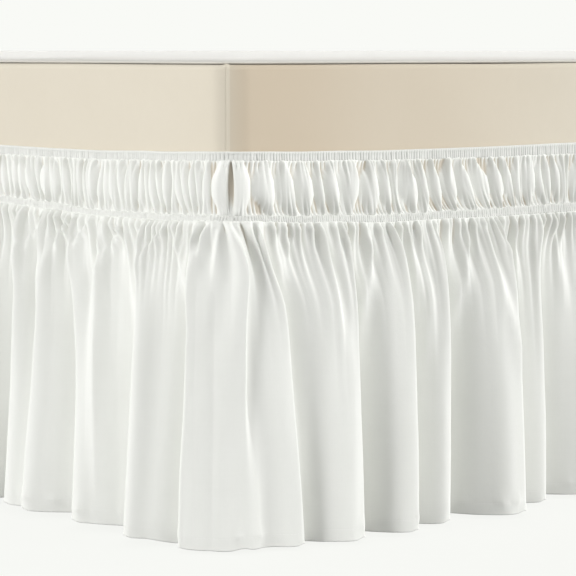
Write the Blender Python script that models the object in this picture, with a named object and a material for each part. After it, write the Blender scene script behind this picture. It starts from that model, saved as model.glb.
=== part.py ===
"""Gathered bed skirt fitted round an upholstered bed base.

Metres, +Z up. The floor is z = 0 and the origin is the middle of the footprint.
The bed's foot end faces -Y and its head end faces +Y.

The skirt is one loop of thin cloth. From the top down it has a narrow elastic
casing, a gathered heading, a shirred elastic line and a gathered drop that
hangs in deep soft folds to a plain hem just off the floor. The drop and the
heading are made of four lengths, each of which turns one corner of the base,
with seams halfway along the four sides.
"""

import math
import random

import bmesh
import bpy

# ---------------------------------------------------------------- dimensions
BASE_WIDTH = 1.530          # X, a queen base
BASE_LENGTH = 2.030         # Y
BASE_CORNER = 0.030         # radius of the base's upright corners
CORNER_STEPS = 8            # facets in each upright corner
BASE_TOP = 0.4985           # top of the upholstered sides
BASE_EDGE = 0.005           # softening of the base's top edge
PANEL_GAP = 0.0004          # base to top panel
PANEL_RIM = 0.0030          # how far the top panel stands in from the sides
CROWN_FLAT = 0.5125         # height of the flat middle of the crowned top

SKIRT_TOP = 0.4064          # a 16 inch skirt
HEM_HEIGHT = 0.0020         # hem above the floor
CLOTH = 0.0014              # cloth as modelled
BAND_IN = 0.0006            # clearance between the elastic and the base
BAND_OUT = 0.0034           # outer face of the elastic casing
LINE_OUT = 0.0042           # outer face of the lower elastic line
GAP = 0.0004                # between neighbouring pieces
GATHER_IN = 0.0050          # cloth's outer face beside the elastic, in a valley
GATHER_OUT = 0.0088         # the same, on a ridge

ARC = math.pi * BASE_CORNER / 2
LONG_RUN = BASE_LENGTH - 2 * BASE_CORNER
SHORT_RUN = BASE_WIDTH - 2 * BASE_CORNER
GIRTH = 4 * ARC + 2 * LONG_RUN + 2 * SHORT_RUN

# Distances along the girth are measured from the middle of the foot end's
# right-hand corner (+X, -Y), positive along the right side towards the head.
SEAM_RIGHT = ARC / 2 + LONG_RUN / 2
SEAM_HEAD = SEAM_RIGHT + LONG_RUN / 2 + ARC + SHORT_RUN / 2
SEAM_LEFT = SEAM_HEAD + SHORT_RUN / 2 + ARC + LONG_RUN / 2
SEAM_FOOT = SEAM_LEFT + LONG_RUN / 2 + ARC + SHORT_RUN / 2
CORNERS = (0.0, LONG_RUN + ARC, LONG_RUN + SHORT_RUN + 2 * ARC, 2 * LONG_RUN + SHORT_RUN + 3 * ARC)

# Folds of the drop beside that corner, one row each, in order along the girth.
# valley, valley_out: the hollow before the fold, at the hem
# top, mid, hem: where the fold's ridge is under the elastic, 30% down, at the hem
# out: how far the ridge stands out at the hem; swell: under 1 fills out early
FOLDS = (
    # valley  valley_out  top     mid     hem     out    swell
    (-0.4223, 0.0120,   -0.4035, -0.3782, -0.3936, 0.0520, 0.31),
    (-0.3516, 0.0110,   -0.3525, -0.3168, -0.3283, 0.0498, 0.31),
    (-0.3007, 0.0420,   -0.3065, -0.2719, -0.2907, 0.0526, 0.31),
    (-0.2250, 0.0080,   -0.2476, -0.2071, -0.2003, 0.0491, 0.31),
    (-0.1297, 0.0080,   -0.1235, -0.0957, -0.1028, 0.0528, 0.31),
    (-0.0478, 0.0110,   -0.0300, -0.0297, -0.0326, 0.0363, 0.45),
    (0.0067, 0.0108,     0.0300,  0.0514,  0.0663, 0.0324, 0.50),
    (0.0764, 0.0140,     0.1390,  0.1318,  0.1225, 0.0650, 0.40),
    (0.1500, 0.0150,     0.2105,  0.2127,  0.2004, 0.0627, 0.40),
    (0.2244, 0.0190,     0.2760,  0.2736,  0.2609, 0.0507, 0.40),
    (0.2844, 0.0080,     0.3740,  0.3683,  0.3573, 0.0726, 0.40),
    (0.3876, 0.0175,     0.4480,  0.4253,  0.4243, 0.0413, 0.40),
    (0.4423, 0.0085,     0.5235,  0.5153,  0.5159, 0.0513, 0.40),
)
LAST_VALLEY = (0.5505, 0.0095)
PITCH = 0.0765              # usual distance between folds elsewhere

# The skirt's uneven levels round that corner, one row per place on the girth.
# lift: the top edge above SKIRT_TOP
# casing, heading, line: depth below the top edge at which each of them ends
LEVELS = (
    # s      lift     casing  heading  line
    (-0.610, -0.0008, 0.0092, 0.0590, 0.0675),
    (-0.396, -0.0014, 0.0095, 0.0565, 0.0650),
    (-0.302, -0.0017, 0.0088, 0.0582, 0.0668),
    (-0.218, -0.0014, 0.0088, 0.0625, 0.0698),
    (-0.114, 0.0010, 0.0086, 0.0632, 0.0708),
    (0.000, 0.0039, 0.0083, 0.0632, 0.0698),
    (0.115, 0.0014, 0.0092, 0.0650, 0.0732),
    (0.214, -0.0004, 0.0097, 0.0672, 0.0764),
    (0.300, -0.0008, 0.0102, 0.0674, 0.0766),
    (0.378, -0.0009, 0.0110, 0.0677, 0.0780),
    (0.494, -0.0002, 0.0120, 0.0680, 0.0790),
    (0.760, 0.0002, 0.0105, 0.0660, 0.0750),
)
LEVEL_REST = (0.0, 0.0095, 0.0630, 0.0710)


# ------------------------------------------------------------------ girth
def on_girth(s, out=0.0):
    """The plan point at girth distance s, out from the base's side."""
    s = (s + ARC / 2) % GIRTH
    half_w, half_l, r = BASE_WIDTH / 2, BASE_LENGTH / 2, BASE_CORNER
    corners = (
        (half_w - r, r - half_l, -90.0, LONG_RUN),
        (half_w - r, half_l - r, 0.0, SHORT_RUN),
        (r - half_w, half_l - r, 90.0, LONG_RUN),
        (r - half_w, r - half_l, 180.0, SHORT_RUN),
    )
    for cx, cy, start, run in corners:
        if s <= ARC:
            a = math.radians(start) + s / r
            return cx + (r + out) * math.cos(a), cy + (r + out) * math.sin(a)
        s -= ARC
        if s <= run:
            a = math.radians(start + 90.0)
            nx, ny = math.cos(a), math.sin(a)
            return (cx + (r + out) * nx - s * ny, cy + (r + out) * ny + s * nx)
        s -= run
    return on_girth(0.0, out)


def wrapped(s):
    """s as a distance from the corner, from -GIRTH / 2 to GIRTH / 2."""
    return (s + GIRTH / 2) % GIRTH - GIRTH / 2


def by_corner(s, reach):
    """True if s is within reach of the middle of one of the four corners."""
    return any(abs(wrapped(s - corner)) < reach for corner in CORNERS)


def levels(s):
    """Heights at s: skirt top, casing foot, heading foot, elastic line foot."""
    s = wrapped(s)
    rows = [(LEVELS[0][0] - 0.35,) + LEVEL_REST] + list(LEVELS)
    rows.append((LEVELS[-1][0] + 0.35,) + LEVEL_REST)
    sway = 0.0009 * math.sin(s * 5.3 + 0.7) + 0.0006 * math.sin(s * 11.9)
    if s <= rows[0][0] or s >= rows[-1][0]:
        lift, casing, heading, line = LEVEL_REST
    else:
        for a, b in zip(rows, rows[1:]):
            if s <= b[0]:
                t = (s - a[0]) / (b[0] - a[0])
                t = t * t * (3 - 2 * t)
                lift, casing, heading, line = (
                    p + (q - p) * t for p, q in zip(a[1:], b[1:])
                )
                break
    away = min(1.0, max(0.0, (abs(s) - 0.5) / 0.4))
    top = SKIRT_TOP + lift + sway * away
    return top, top - casing, top - heading - sway * away, top - line


# ------------------------------------------------------------------- folds
def knots():
    """Valleys and ridges of the drop in order round the girth.

    Each is (kind, s at top, s 30% down, s at hem, out at hem, swell).
    """
    rng = random.Random(41)
    rows = []

    def valley(s, out):
        rows.append(["valley", s, s, s, out, 1.0])

    def ridge(top, mid, hem, out, swell):
        rows.append(["ridge", top, mid, hem, out, swell])

    def fill(start, end, count):
        """count folds from a valley at start up to the valley at end."""
        weights = [rng.uniform(0.62, 1.42) for _ in range(count)]
        total = sum(weights)
        s = start
        for i, w in enumerate(weights):
            width = (end - start) * w / total
            if i:
                valley(s, rng.uniform(0.006, 0.016))
            crest = s + width * rng.uniform(0.42, 0.58)
            lean = rng.uniform(-0.011, 0.011)
            out = 0.030 + 0.33 * min(width, 0.095) + rng.uniform(-0.006, 0.006)
            ridge(crest + lean, crest + lean * 0.6, crest, out, rng.uniform(0.6, 1.0))
            s += width

    valley(SEAM_FOOT - GIRTH, 0.0090)
    fill(SEAM_FOOT - GIRTH, FOLDS[0][0], 4)
    for v, v_out, top, mid, hem, out, swell in FOLDS:
        valley(v, v_out)
        ridge(top, mid, hem, out, swell)
    valley(*LAST_VALLEY)
    fill(LAST_VALLEY[0], SEAM_RIGHT, 6)
    for start, end in ((SEAM_RIGHT, SEAM_HEAD), (SEAM_HEAD, SEAM_LEFT), (SEAM_LEFT, SEAM_FOOT)):
        valley(start, 0.0090)
        fill(start, end, round((end - start) / PITCH))
    valley(SEAM_FOOT, 0.0090)

    # A valley's line follows the lean of the ridges on both sides of it.
    for i in range(1, len(rows) - 1):
        if rows[i][0] == "valley" and not any(
            abs(rows[i][3] - seam) < 1e-6 for seam in (SEAM_RIGHT, SEAM_HEAD, SEAM_LEFT)
        ):
            a, b = rows[i - 1], rows[i + 1]
            share = (rows[i][3] - a[3]) / (b[3] - a[3])
            rows[i][1] = a[1] + (b[1] - a[1]) * share
            rows[i][2] = a[2] + (b[2] - a[2]) * share
    return rows


def knot_at(knot, u):
    """(s, out) of a knot at depth u, 0 under the elastic and 1 at the hem."""
    kind, top, mid, hem, out, swell = knot
    if u < 0.3:
        t = u / 0.3
        s = top + (mid - top) * math.sin(t * math.pi / 2)
    else:
        t = (u - 0.3) / 0.7
        s = mid + (hem - mid) * t * t * (3 - 2 * t) if abs(hem - mid) < 0.004 else mid + (hem - mid) * t
    start = GATHER_IN if kind == "valley" else GATHER_OUT
    # the gathers hold the cloth in for the first stretch below the elastic
    return s, start + (out - start) * u ** swell * (1 - math.exp(-u / 0.09))


def column_lines(folds, start, end, fine):
    """Columns of the drop between two seams, each a function of the depth u."""
    rows = [k for k in folds if start - 1e-6 <= k[3] <= end + 1e-6]
    columns = []

    def between(a, b, share):
        def at(u):
            sa, oa = knot_at(a, u)
            sb, ob = knot_at(b, u)
            ease = (1 - math.cos(math.pi * share)) / 2
            return sa + (sb - sa) * share, oa + (ob - oa) * ease

        return at

    for i, (a, b) in enumerate(zip(rows, rows[1:])):
        near = fine[0] <= (a[3] + b[3]) / 2 <= fine[1]
        if i == 0 or near or by_corner(a[3], 0.06):
            columns.append(between(a, b, 0.0))
        shares = (0.30, 0.70) if near else (0.20, 0.80)
        if by_corner((a[3] + b[3]) / 2, ARC / 2 + abs(b[3] - a[3]) / 2):
            steps = round((b[3] - a[3]) / 0.0095)
            shares = [step / steps for step in range(1, steps)]
        columns += [between(a, b, share) for share in shares]
    columns.append(between(rows[-2], rows[-1], 1.0))
    return columns


# -------------------------------------------------------------- mesh helpers
def new_object(name, verts, faces, material, smooth=True):
    mesh = bpy.data.meshes.new(name)
    mesh.from_pydata(verts, [], faces)
    mesh.validate()
    obj = bpy.data.objects.new(name, mesh)
    bpy.context.scene.collection.objects.link(obj)
    mesh.materials.append(material)
    if smooth:
        mesh.shade_smooth()
        mesh.set_sharp_from_angle(angle=math.radians(40))
    return obj


def grid_faces(columns, rows, closed):
    """Quads of a grid stored column by column, outer side facing out."""
    faces = []
    for c in range(columns if closed else columns - 1):
        n = (c + 1) % columns
        for r in range(rows - 1):
            faces.append((c * rows + r, c * rows + r + 1, n * rows + r + 1, n * rows + r))
    return faces


def cloth_sheet(name, grid, material, thickness=CLOTH):
    """Open sheet of cloth from columns of points, thickened inwards."""
    rows = len(grid[0])
    verts = [p for column in grid for p in column]
    obj = new_object(name, verts, grid_faces(len(grid), rows, False), material)
    solid = obj.modifiers.new("cloth", "SOLIDIFY")
    solid.thickness = thickness
    solid.offset = -1.0
    solid.use_even_offset = False
    return obj


def ring(name, outline, material):
    """Closed ring from stations of (inner top, inner foot, outer foot, outer top)."""
    verts = [p for station in outline for p in station]
    n = len(outline)
    faces = []
    for i in range(n):
        j = (i + 1) % n
        for k in range(4):
            m = (k + 1) % 4
            faces.append((4 * i + k, 4 * j + k, 4 * j + m, 4 * i + m))
    return new_object(name, verts, faces, material)


def material(name, colour, roughness):
    mat = bpy.data.materials.new(name)
    mat.use_nodes = True
    shader = mat.node_tree.nodes["Principled BSDF"]
    shader.inputs["Base Color"].default_value = (*colour, 1.0)
    shader.inputs["Roughness"].default_value = roughness
    shader.inputs["Metallic"].default_value = 0.0
    return mat


# ------------------------------------------------------------------ pieces
def rounded_outline(inset, z, radius):
    """Counter-clockwise points of the base's outline, moved in by inset."""
    half_w, half_l = BASE_WIDTH / 2 - inset, BASE_LENGTH / 2 - inset
    points = []
    for sx, sy, start in ((1, -1, -90), (1, 1, 0), (-1, 1, 90), (-1, -1, 180)):
        cx, cy = sx * (half_w - radius), sy * (half_l - radius)
        for i in range(CORNER_STEPS + 1):
            a = math.radians(start + 90 * i / CORNER_STEPS)
            points.append((cx + radius * math.cos(a), cy + radius * math.sin(a), z))
    return points


def stacked(name, sections, mat):
    """Solid through outlines of equal point count, capped at both ends."""
    verts = [p for section in sections for p in section]
    n = len(sections[0])
    faces = [tuple(range(n - 1, -1, -1))]
    for i in range(len(sections) - 1):
        for k in range(n):
            m = (k + 1) % n
            faces.append((i * n + k, i * n + m, (i + 1) * n + m, (i + 1) * n + k))
    last = (len(sections) - 1) * n
    faces.append(tuple(range(last, last + n)))
    return new_object(name, verts, faces, mat)


def bed_base(mat):
    r = BASE_CORNER
    profile = ((0.003, 0.0), (0.0, 0.003), (0.0, BASE_TOP - BASE_EDGE),
               (0.0014, BASE_TOP - 0.0015), (BASE_EDGE, BASE_TOP))
    return stacked("bed_base", [rounded_outline(i, z, r - i) for i, z in profile], mat)


def top_panel(mat):
    """Lightly crowned top: it rises from the rim to a flat middle."""
    foot = BASE_TOP + PANEL_GAP
    crown = CROWN_FLAT - foot
    profile = [(BASE_EDGE + PANEL_RIM, foot), (PANEL_RIM + 0.002, foot + 0.0012)]
    for inset, share in ((0.010, 0.30), (0.035, 0.50), (0.090, 0.72), (0.170, 0.91), (0.260, 1.0)):
        profile.append((inset, foot + crown * share))
    profile = [(inset, z, max(0.016, BASE_CORNER - inset)) for inset, z in profile]
    return stacked("top_panel", [rounded_outline(i, z, r) for i, z, r in profile], mat)


def stations():
    """Girth distances for the elastic rings: closer on the corners."""
    places = []
    start = -ARC / 2
    for run in (LONG_RUN, SHORT_RUN, LONG_RUN, SHORT_RUN):
        places += [start + ARC * i / CORNER_STEPS for i in range(CORNER_STEPS)]
        start += ARC
        pieces = round(run / 0.0425)
        for i in range(pieces):
            s = start + run * i / pieces
            if i % 3 == 0 or abs(wrapped(s)) < 0.62:
                places.append(s)
        start += run
    return places


def elastic_casing(mat):
    outline = []
    for s in stations():
        top, foot, _, _ = levels(s)
        inner, outer = on_girth(s, BAND_IN), on_girth(s, BAND_OUT)
        outline.append([(*inner, top), (*inner, foot), (*outer, foot), (*outer, top)])
    return ring("elastic_casing", outline, mat)


def elastic_line(mat):
    outline = []
    for s in stations():
        _, _, top, foot = levels(s)
        top -= GAP
        foot += GAP
        inner, outer = on_girth(s, BAND_IN), on_girth(s, LINE_OUT)
        outline.append([(*inner, top), (*inner, foot), (*outer, foot), (*outer, top)])
    return ring("elastic_line", outline, mat)


def heading_puffs():
    """(s at the casing, s halfway, s at the line, fullness) of heading gathers."""
    rng = random.Random(17)
    puffs = []
    s = SEAM_FOOT - GIRTH
    while s < SEAM_FOOT - 0.03:
        close = -0.5 < s < 0.6
        step = rng.uniform(0.033, 0.052) if close else rng.uniform(0.066, 0.090)
        puffs.append((s, s + step))
        s += step
    scale = GIRTH / (s - (SEAM_FOOT - GIRTH))
    start = SEAM_FOOT - GIRTH
    return [
        (start + (a - start) * scale, start + (b - start) * scale, rng.uniform(0.7, 1.0), rng.uniform(-1, 1))
        for a, b in puffs
    ]


def heading_length(name, start, end, puffs, mat):
    """One length of the gathered heading, puffed out between the elastics."""
    places = []
    for a, b, full, lean in puffs:
        places.append((a, 0.10, 0.0))
        places.append(((a + b) / 2, full, lean * 0.004))
    for corner in CORNERS:
        for step in range(-2, 3):
            s = corner + step * ARC / 4
            if all(abs(s - p[0]) > 0.005 for p in places):
                before = max((p for p in places if p[0] < s), default=places[0])
                after = min((p for p in places if p[0] > s), default=places[-1])
                share = (s - before[0]) / max(1e-6, after[0] - before[0])
                places.append((s,) + tuple(b + (a - b) * share for b, a in zip(before[1:], after[1:])))
    places.sort()
    inside = [p for p in places if start + 0.012 < p[0] < end - 0.012]
    edge = GAP / 2
    inside = [(start + edge, 0.10, 0.0)] + inside + [(end - edge, 0.10, 0.0)]
    grid = []
    for s, full, lean in inside:
        _, casing_foot, heading_foot, _ = levels(s)
        top, foot = casing_foot - GAP, heading_foot + GAP * 0.5
        column = []
        for share, out in ((0.0, 0.0050 + 0.0014 * full), (0.5, 0.0046 + 0.0096 * full), (1.0, 0.0052 + 0.0016 * full)):
            x, y = on_girth(s + lean * (1 - abs(2 * share - 1)), out)
            column.append((x, y, top + (foot - top) * share))
        grid.append(column)
    return cloth_sheet(name, grid, mat)


def drop_length(name, start, end, folds, mat):
    """One length of the gathered drop, from the elastic line to the hem."""
    columns = column_lines(folds, start, end, (FOLDS[0][0], LAST_VALLEY[0]))
    depths = (0.0, 0.14, 0.46, 1.0) if start <= FOLDS[0][0] < end else (0.0, 0.24, 1.0)
    grid = []
    for i, at in enumerate(columns):
        column = []
        for u in depths:
            s, out = at(u)
            if i == 0:
                s = start + GAP / 2
            elif i == len(columns) - 1:
                s = end - GAP / 2
            top = levels(s)[3] - GAP
            x, y = on_girth(s, out)
            column.append((x, y, top + (HEM_HEIGHT - top) * u))
        grid.append(column)
    return cloth_sheet(name, grid, mat)


def build():
    for obj in list(bpy.data.objects):
        bpy.data.objects.remove(obj, do_unlink=True)

    cloth = material("white_cloth", (0.86, 0.86, 0.84), 0.92)
    elastic = material("white_elastic", (0.84, 0.84, 0.82), 0.88)
    upholstery = material("beige_upholstery", (0.72, 0.64, 0.53), 0.90)
    ticking = material("pale_top_cloth", (0.83, 0.82, 0.78), 0.90)

    bed = bpy.data.objects.new("bed", None)
    bpy.context.scene.collection.objects.link(bed)

    folds = knots()
    puffs = heading_puffs()
    seams = (SEAM_FOOT - GIRTH, SEAM_RIGHT, SEAM_HEAD, SEAM_LEFT, SEAM_FOOT)
    corners = ("foot_right", "head_right", "head_left", "foot_left")

    pieces = [bed_base(upholstery), top_panel(ticking), elastic_casing(elastic), elastic_line(elastic)]
    for corner, start, end in zip(corners, seams, seams[1:]):
        pieces.append(heading_length("heading_" + corner, start, end, puffs, cloth))
        pieces.append(drop_length("drop_" + corner, start, end, folds, cloth))
    for piece in pieces:
        piece.parent = bed


build()
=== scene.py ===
import math
import random

import bpy
import numpy as np
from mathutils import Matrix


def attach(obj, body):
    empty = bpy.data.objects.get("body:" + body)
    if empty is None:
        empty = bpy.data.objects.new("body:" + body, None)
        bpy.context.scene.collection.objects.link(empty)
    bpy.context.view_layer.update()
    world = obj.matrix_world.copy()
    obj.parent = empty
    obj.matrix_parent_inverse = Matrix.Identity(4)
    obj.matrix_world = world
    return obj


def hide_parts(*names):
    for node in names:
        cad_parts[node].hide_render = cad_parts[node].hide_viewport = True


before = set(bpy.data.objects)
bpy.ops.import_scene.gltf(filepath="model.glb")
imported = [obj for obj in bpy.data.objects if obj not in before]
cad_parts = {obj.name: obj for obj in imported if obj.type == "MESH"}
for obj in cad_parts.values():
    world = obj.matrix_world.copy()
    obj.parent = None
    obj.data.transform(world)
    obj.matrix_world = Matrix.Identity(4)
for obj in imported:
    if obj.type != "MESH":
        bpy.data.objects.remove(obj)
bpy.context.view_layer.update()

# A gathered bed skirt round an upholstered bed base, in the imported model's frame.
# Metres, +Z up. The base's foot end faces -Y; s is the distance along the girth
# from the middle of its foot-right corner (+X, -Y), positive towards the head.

# ----------------------------------------------------------- the CAD's sizes
BASE_WIDTH, BASE_LENGTH, BASE_CORNER = 1.530, 2.030, 0.030
BASE_TOP, CROWN_FLAT = 0.4985, 0.5125
SKIRT_TOP, HEM_HEIGHT = 0.4064, 0.0020
ARC = math.pi * BASE_CORNER / 2
LONG_RUN = BASE_LENGTH - 2 * BASE_CORNER
SHORT_RUN = BASE_WIDTH - 2 * BASE_CORNER
GIRTH = 4 * ARC + 2 * LONG_RUN + 2 * SHORT_RUN
SEAM_RIGHT = ARC / 2 + LONG_RUN / 2
SEAM_HEAD = SEAM_RIGHT + LONG_RUN / 2 + ARC + SHORT_RUN / 2
SEAM_LEFT = SEAM_HEAD + SHORT_RUN / 2 + ARC + LONG_RUN / 2
SEAM_FOOT = SEAM_LEFT + LONG_RUN / 2 + ARC + SHORT_RUN / 2
SEAMS = (SEAM_FOOT - GIRTH, SEAM_RIGHT, SEAM_HEAD, SEAM_LEFT, SEAM_FOOT)
LENGTHS = ("foot_right", "head_right", "head_left", "foot_left")
CORNERS = (0.0, LONG_RUN + ARC, LONG_RUN + SHORT_RUN + 2 * ARC, 2 * LONG_RUN + SHORT_RUN + 3 * ARC)
CLOSE = (-0.46, 0.58)       # the stretch of the girth that gets the finest mesh

# Main folds: valley, valley_out, then the ridge's s at the top, 30% down and at
# the hem, how far it stands out at the hem, and how early it fills out.
FOLDS = (
    (-0.4223, 0.0120, -0.4035, -0.3806, -0.3811, 0.0630, 0.55),
    (-0.3674, 0.0110, -0.3525, -0.3191, -0.3158, 0.0608, 0.55),
    (-0.3175, 0.0420, -0.3065, -0.2743, -0.2782, 0.0636, 0.55),
    (-0.2430, 0.0080, -0.2476, -0.2094, -0.1878, 0.0601, 0.55),
    (-0.1500, 0.0080, -0.1235, -0.0981, -0.0903, 0.0638, 0.55),
    (-0.0600, 0.0110, -0.0300, -0.0318, -0.0326, 0.0363, 0.55),
    (-0.0120, 0.0138, 0.0045, 0.0110, 0.0100, 0.0150, 1.0),
    (0.0280, 0.0108, 0.0300, 0.0527, 0.0663, 0.0324, 0.6),
    (0.0790, 0.0140, 0.1390, 0.1352, 0.1225, 0.0650, 0.5),
    (0.1510, 0.0150, 0.2105, 0.2160, 0.2004, 0.0627, 0.5),
    (0.2260, 0.0190, 0.2760, 0.2762, 0.2609, 0.0507, 0.5),
    (0.2883, 0.0080, 0.3740, 0.3722, 0.3573, 0.0726, 0.5),
    (0.3880, 0.0175, 0.4480, 0.4273, 0.4243, 0.0413, 0.5),
    (0.4450, 0.0085, 0.5235, 0.5179, 0.5159, 0.0513, 0.5),
)
LAST_VALLEY = (0.5505, 0.0095)
# The finer course of some of those ridges: (share of the depth, s), and for the
# one on the corner how far it stands out as well.
COURSES = {
    1: ((0.04, -0.3458), (0.15, -0.3327), (0.28, -0.3197), (0.4, -0.3199), (0.69, -0.3178), (0.98, -0.3156)),
    2: ((0.04, -0.3003), (0.15, -0.287), (0.34, -0.2738), (0.53, -0.2747), (0.77, -0.2774), (0.99, -0.278)),
    3: ((0.02, -0.2448), (0.08, -0.2361), (0.26, -0.212), (0.45, -0.2005), (0.73, -0.1915), (0.99, -0.1877)),
    4: ((0.01, -0.1218), (0.13, -0.1113), (0.29, -0.0985), (0.4, -0.0968), (0.56, -0.095), (0.78, -0.092),
        (1, -0.0903)),
    5: ((0, -0.0295), (0.05, -0.0355), (0.12, -0.0362), (0.27, -0.0319), (0.49, -0.0317), (0.76, -0.0336),
        (1, -0.0326)),
    6: ((0, -0.0021, 0.0068), (0.031, 0.005, 0.0086), (0.073, 0.0096, 0.0112), (0.148, 0.0136, 0.0140),
        (0.238, 0.0117, 0.0148), (0.314, 0.011, 0.0150), (0.528, 0.0112, 0.0142), (0.776, 0.0111, 0.0119),
        (1, 0.01, 0.0112)),
    7: ((0.04, 0.0269), (0.14, 0.0349), (0.25, 0.0497), (0.36, 0.054), (0.54, 0.0583), (0.72, 0.0616),
        (1, 0.0663)),
    8: ((0.01, 0.1411), (0.08, 0.1397), (0.16, 0.1366), (0.28, 0.1345), (0.39, 0.1313), (0.55, 0.129), (0.77, 0.1261),
        (0.99, 0.1223)),
    9: ((0.02, 0.2127), (0.09, 0.2169), (0.16, 0.2159), (0.25, 0.2164), (0.35, 0.2148), (0.48, 0.2119),
        (0.71, 0.2076), (1, 0.2004)),
    10: ((0.04, 0.277), (0.08, 0.2789), (0.18, 0.2778), (0.32, 0.276), (0.45, 0.2743), (0.74, 0.2677),
        (1, 0.2609)),
    11: ((0.04, 0.3763), (0.12, 0.3758), (0.21, 0.3752), (0.38, 0.3701), (0.53, 0.3671), (0.77, 0.362),
        (1, 0.3573)),
    12: ((0.04, 0.4466), (0.09, 0.4377), (0.19, 0.4292), (0.31, 0.4271), (0.48, 0.4286), (0.7, 0.4293),
        (1, 0.4243)),
}
PITCH = 0.0765

# Lesser ridges of the drop: (share of the drop's depth, s) from the elastic line
# down to where each one runs out into a main fold, then its height in metres.
LESSER = (
    (((0.017, -0.3043), (0.127, -0.3241), (0.17, -0.3315), (0.345, -0.3254)), 0.0050),
    (((0.01, -0.2585), (0.099, -0.2705), (0.215, -0.2739)), 0.0050),
    (((0.023, -0.2188), (0.09, -0.2264), (0.203, -0.224)), 0.0050),
    (((0.02, -0.195), (0.07, -0.189), (0.16, -0.1815), (0.28, -0.178), (0.43, -0.1765), (0.8, -0.174)), 0.0088),
    (((0.002, -0.159), (0.117, -0.1778), (0.25, -0.1848)), 0.0060),
    (((0.011, -0.1533), (0.164, -0.1394), (0.301, -0.1274), (0.389, -0.1182)), 0.0060),
    (((0, -0.0802), (0.064, -0.0961), (0.157, -0.1078)), 0.0050),
    (((0, -0.0736), (0.059, -0.0674), (0.188, -0.0487), (0.276, -0.0343)), 0.0060),
    (((0, -0.0175), (0.03, -0.0224), (0.094, -0.0275), (0.227, -0.03)), 0.0060),
    (((0, 0.0006), (0.061, 0.0019), (0.113, 0.0053)), 0.0028),
    (((0, -0.0075), (0.15, -0.0125), (0.27, -0.0165), (0.42, -0.0127), (0.62, -0.0209)), 0.0040),
    (((0.016, 0.0488), (0.07, 0.053), (0.161, 0.0558)), 0.0050),
    (((0.033, 0.0727), (0.106, 0.061), (0.139, 0.0571)), 0.0045),
    (((0.017, 0.1098), (0.128, 0.1099), (0.262, 0.1142), (0.392, 0.1209)), 0.0065),
    (((0.022, 0.1823), (0.092, 0.177), (0.219, 0.1639), (0.401, 0.1535)), 0.0065),
    (((0.03, 0.2364), (0.087, 0.2394), (0.179, 0.239), (0.355, 0.2311)), 0.0055),
    (((0.033, 0.2513), (0.134, 0.2488), (0.274, 0.2513), (0.406, 0.2476)), 0.0060),
    (((0.035, 0.3285), (0.193, 0.3123), (0.335, 0.2974), (0.407, 0.2892)), 0.0060),
    (((0.048, 0.3498), (0.123, 0.3488), (0.239, 0.3516), (0.36, 0.3602), (0.437, 0.3673)), 0.0060),
    (((0.068, 0.3671), (0.187, 0.3854)), 0.0045),
    (((0.047, 0.405), (0.231, 0.3978)), 0.0050),
    (((0.075, 0.4721), (0.204, 0.4705), (0.285, 0.4726)), 0.0050),
)

# The skirt's uneven levels: s, lift of the top edge, and the depths below it at
# which the casing, the heading and the elastic line end.
LEVELS = (
    (-0.610, -0.0008, 0.0092, 0.0590, 0.0675),
    (-0.396, -0.0014, 0.0095, 0.0565, 0.0650),
    (-0.302, -0.0017, 0.0088, 0.0582, 0.0668),
    (-0.218, -0.0014, 0.0088, 0.0625, 0.0698),
    (-0.114, 0.0010, 0.0086, 0.0632, 0.0708),
    (0.000, 0.0039, 0.0083, 0.0632, 0.0698),
    (0.115, 0.0014, 0.0092, 0.0650, 0.0732),
    (0.214, -0.0004, 0.0097, 0.0672, 0.0764),
    (0.300, -0.0008, 0.0102, 0.0674, 0.0766),
    (0.378, -0.0009, 0.0110, 0.0677, 0.0780),
    (0.494, -0.0002, 0.0120, 0.0680, 0.0790),
    (0.760, 0.0002, 0.0105, 0.0660, 0.0750),
)
LEVEL_REST = (0.0, 0.0095, 0.0630, 0.0710)

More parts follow.
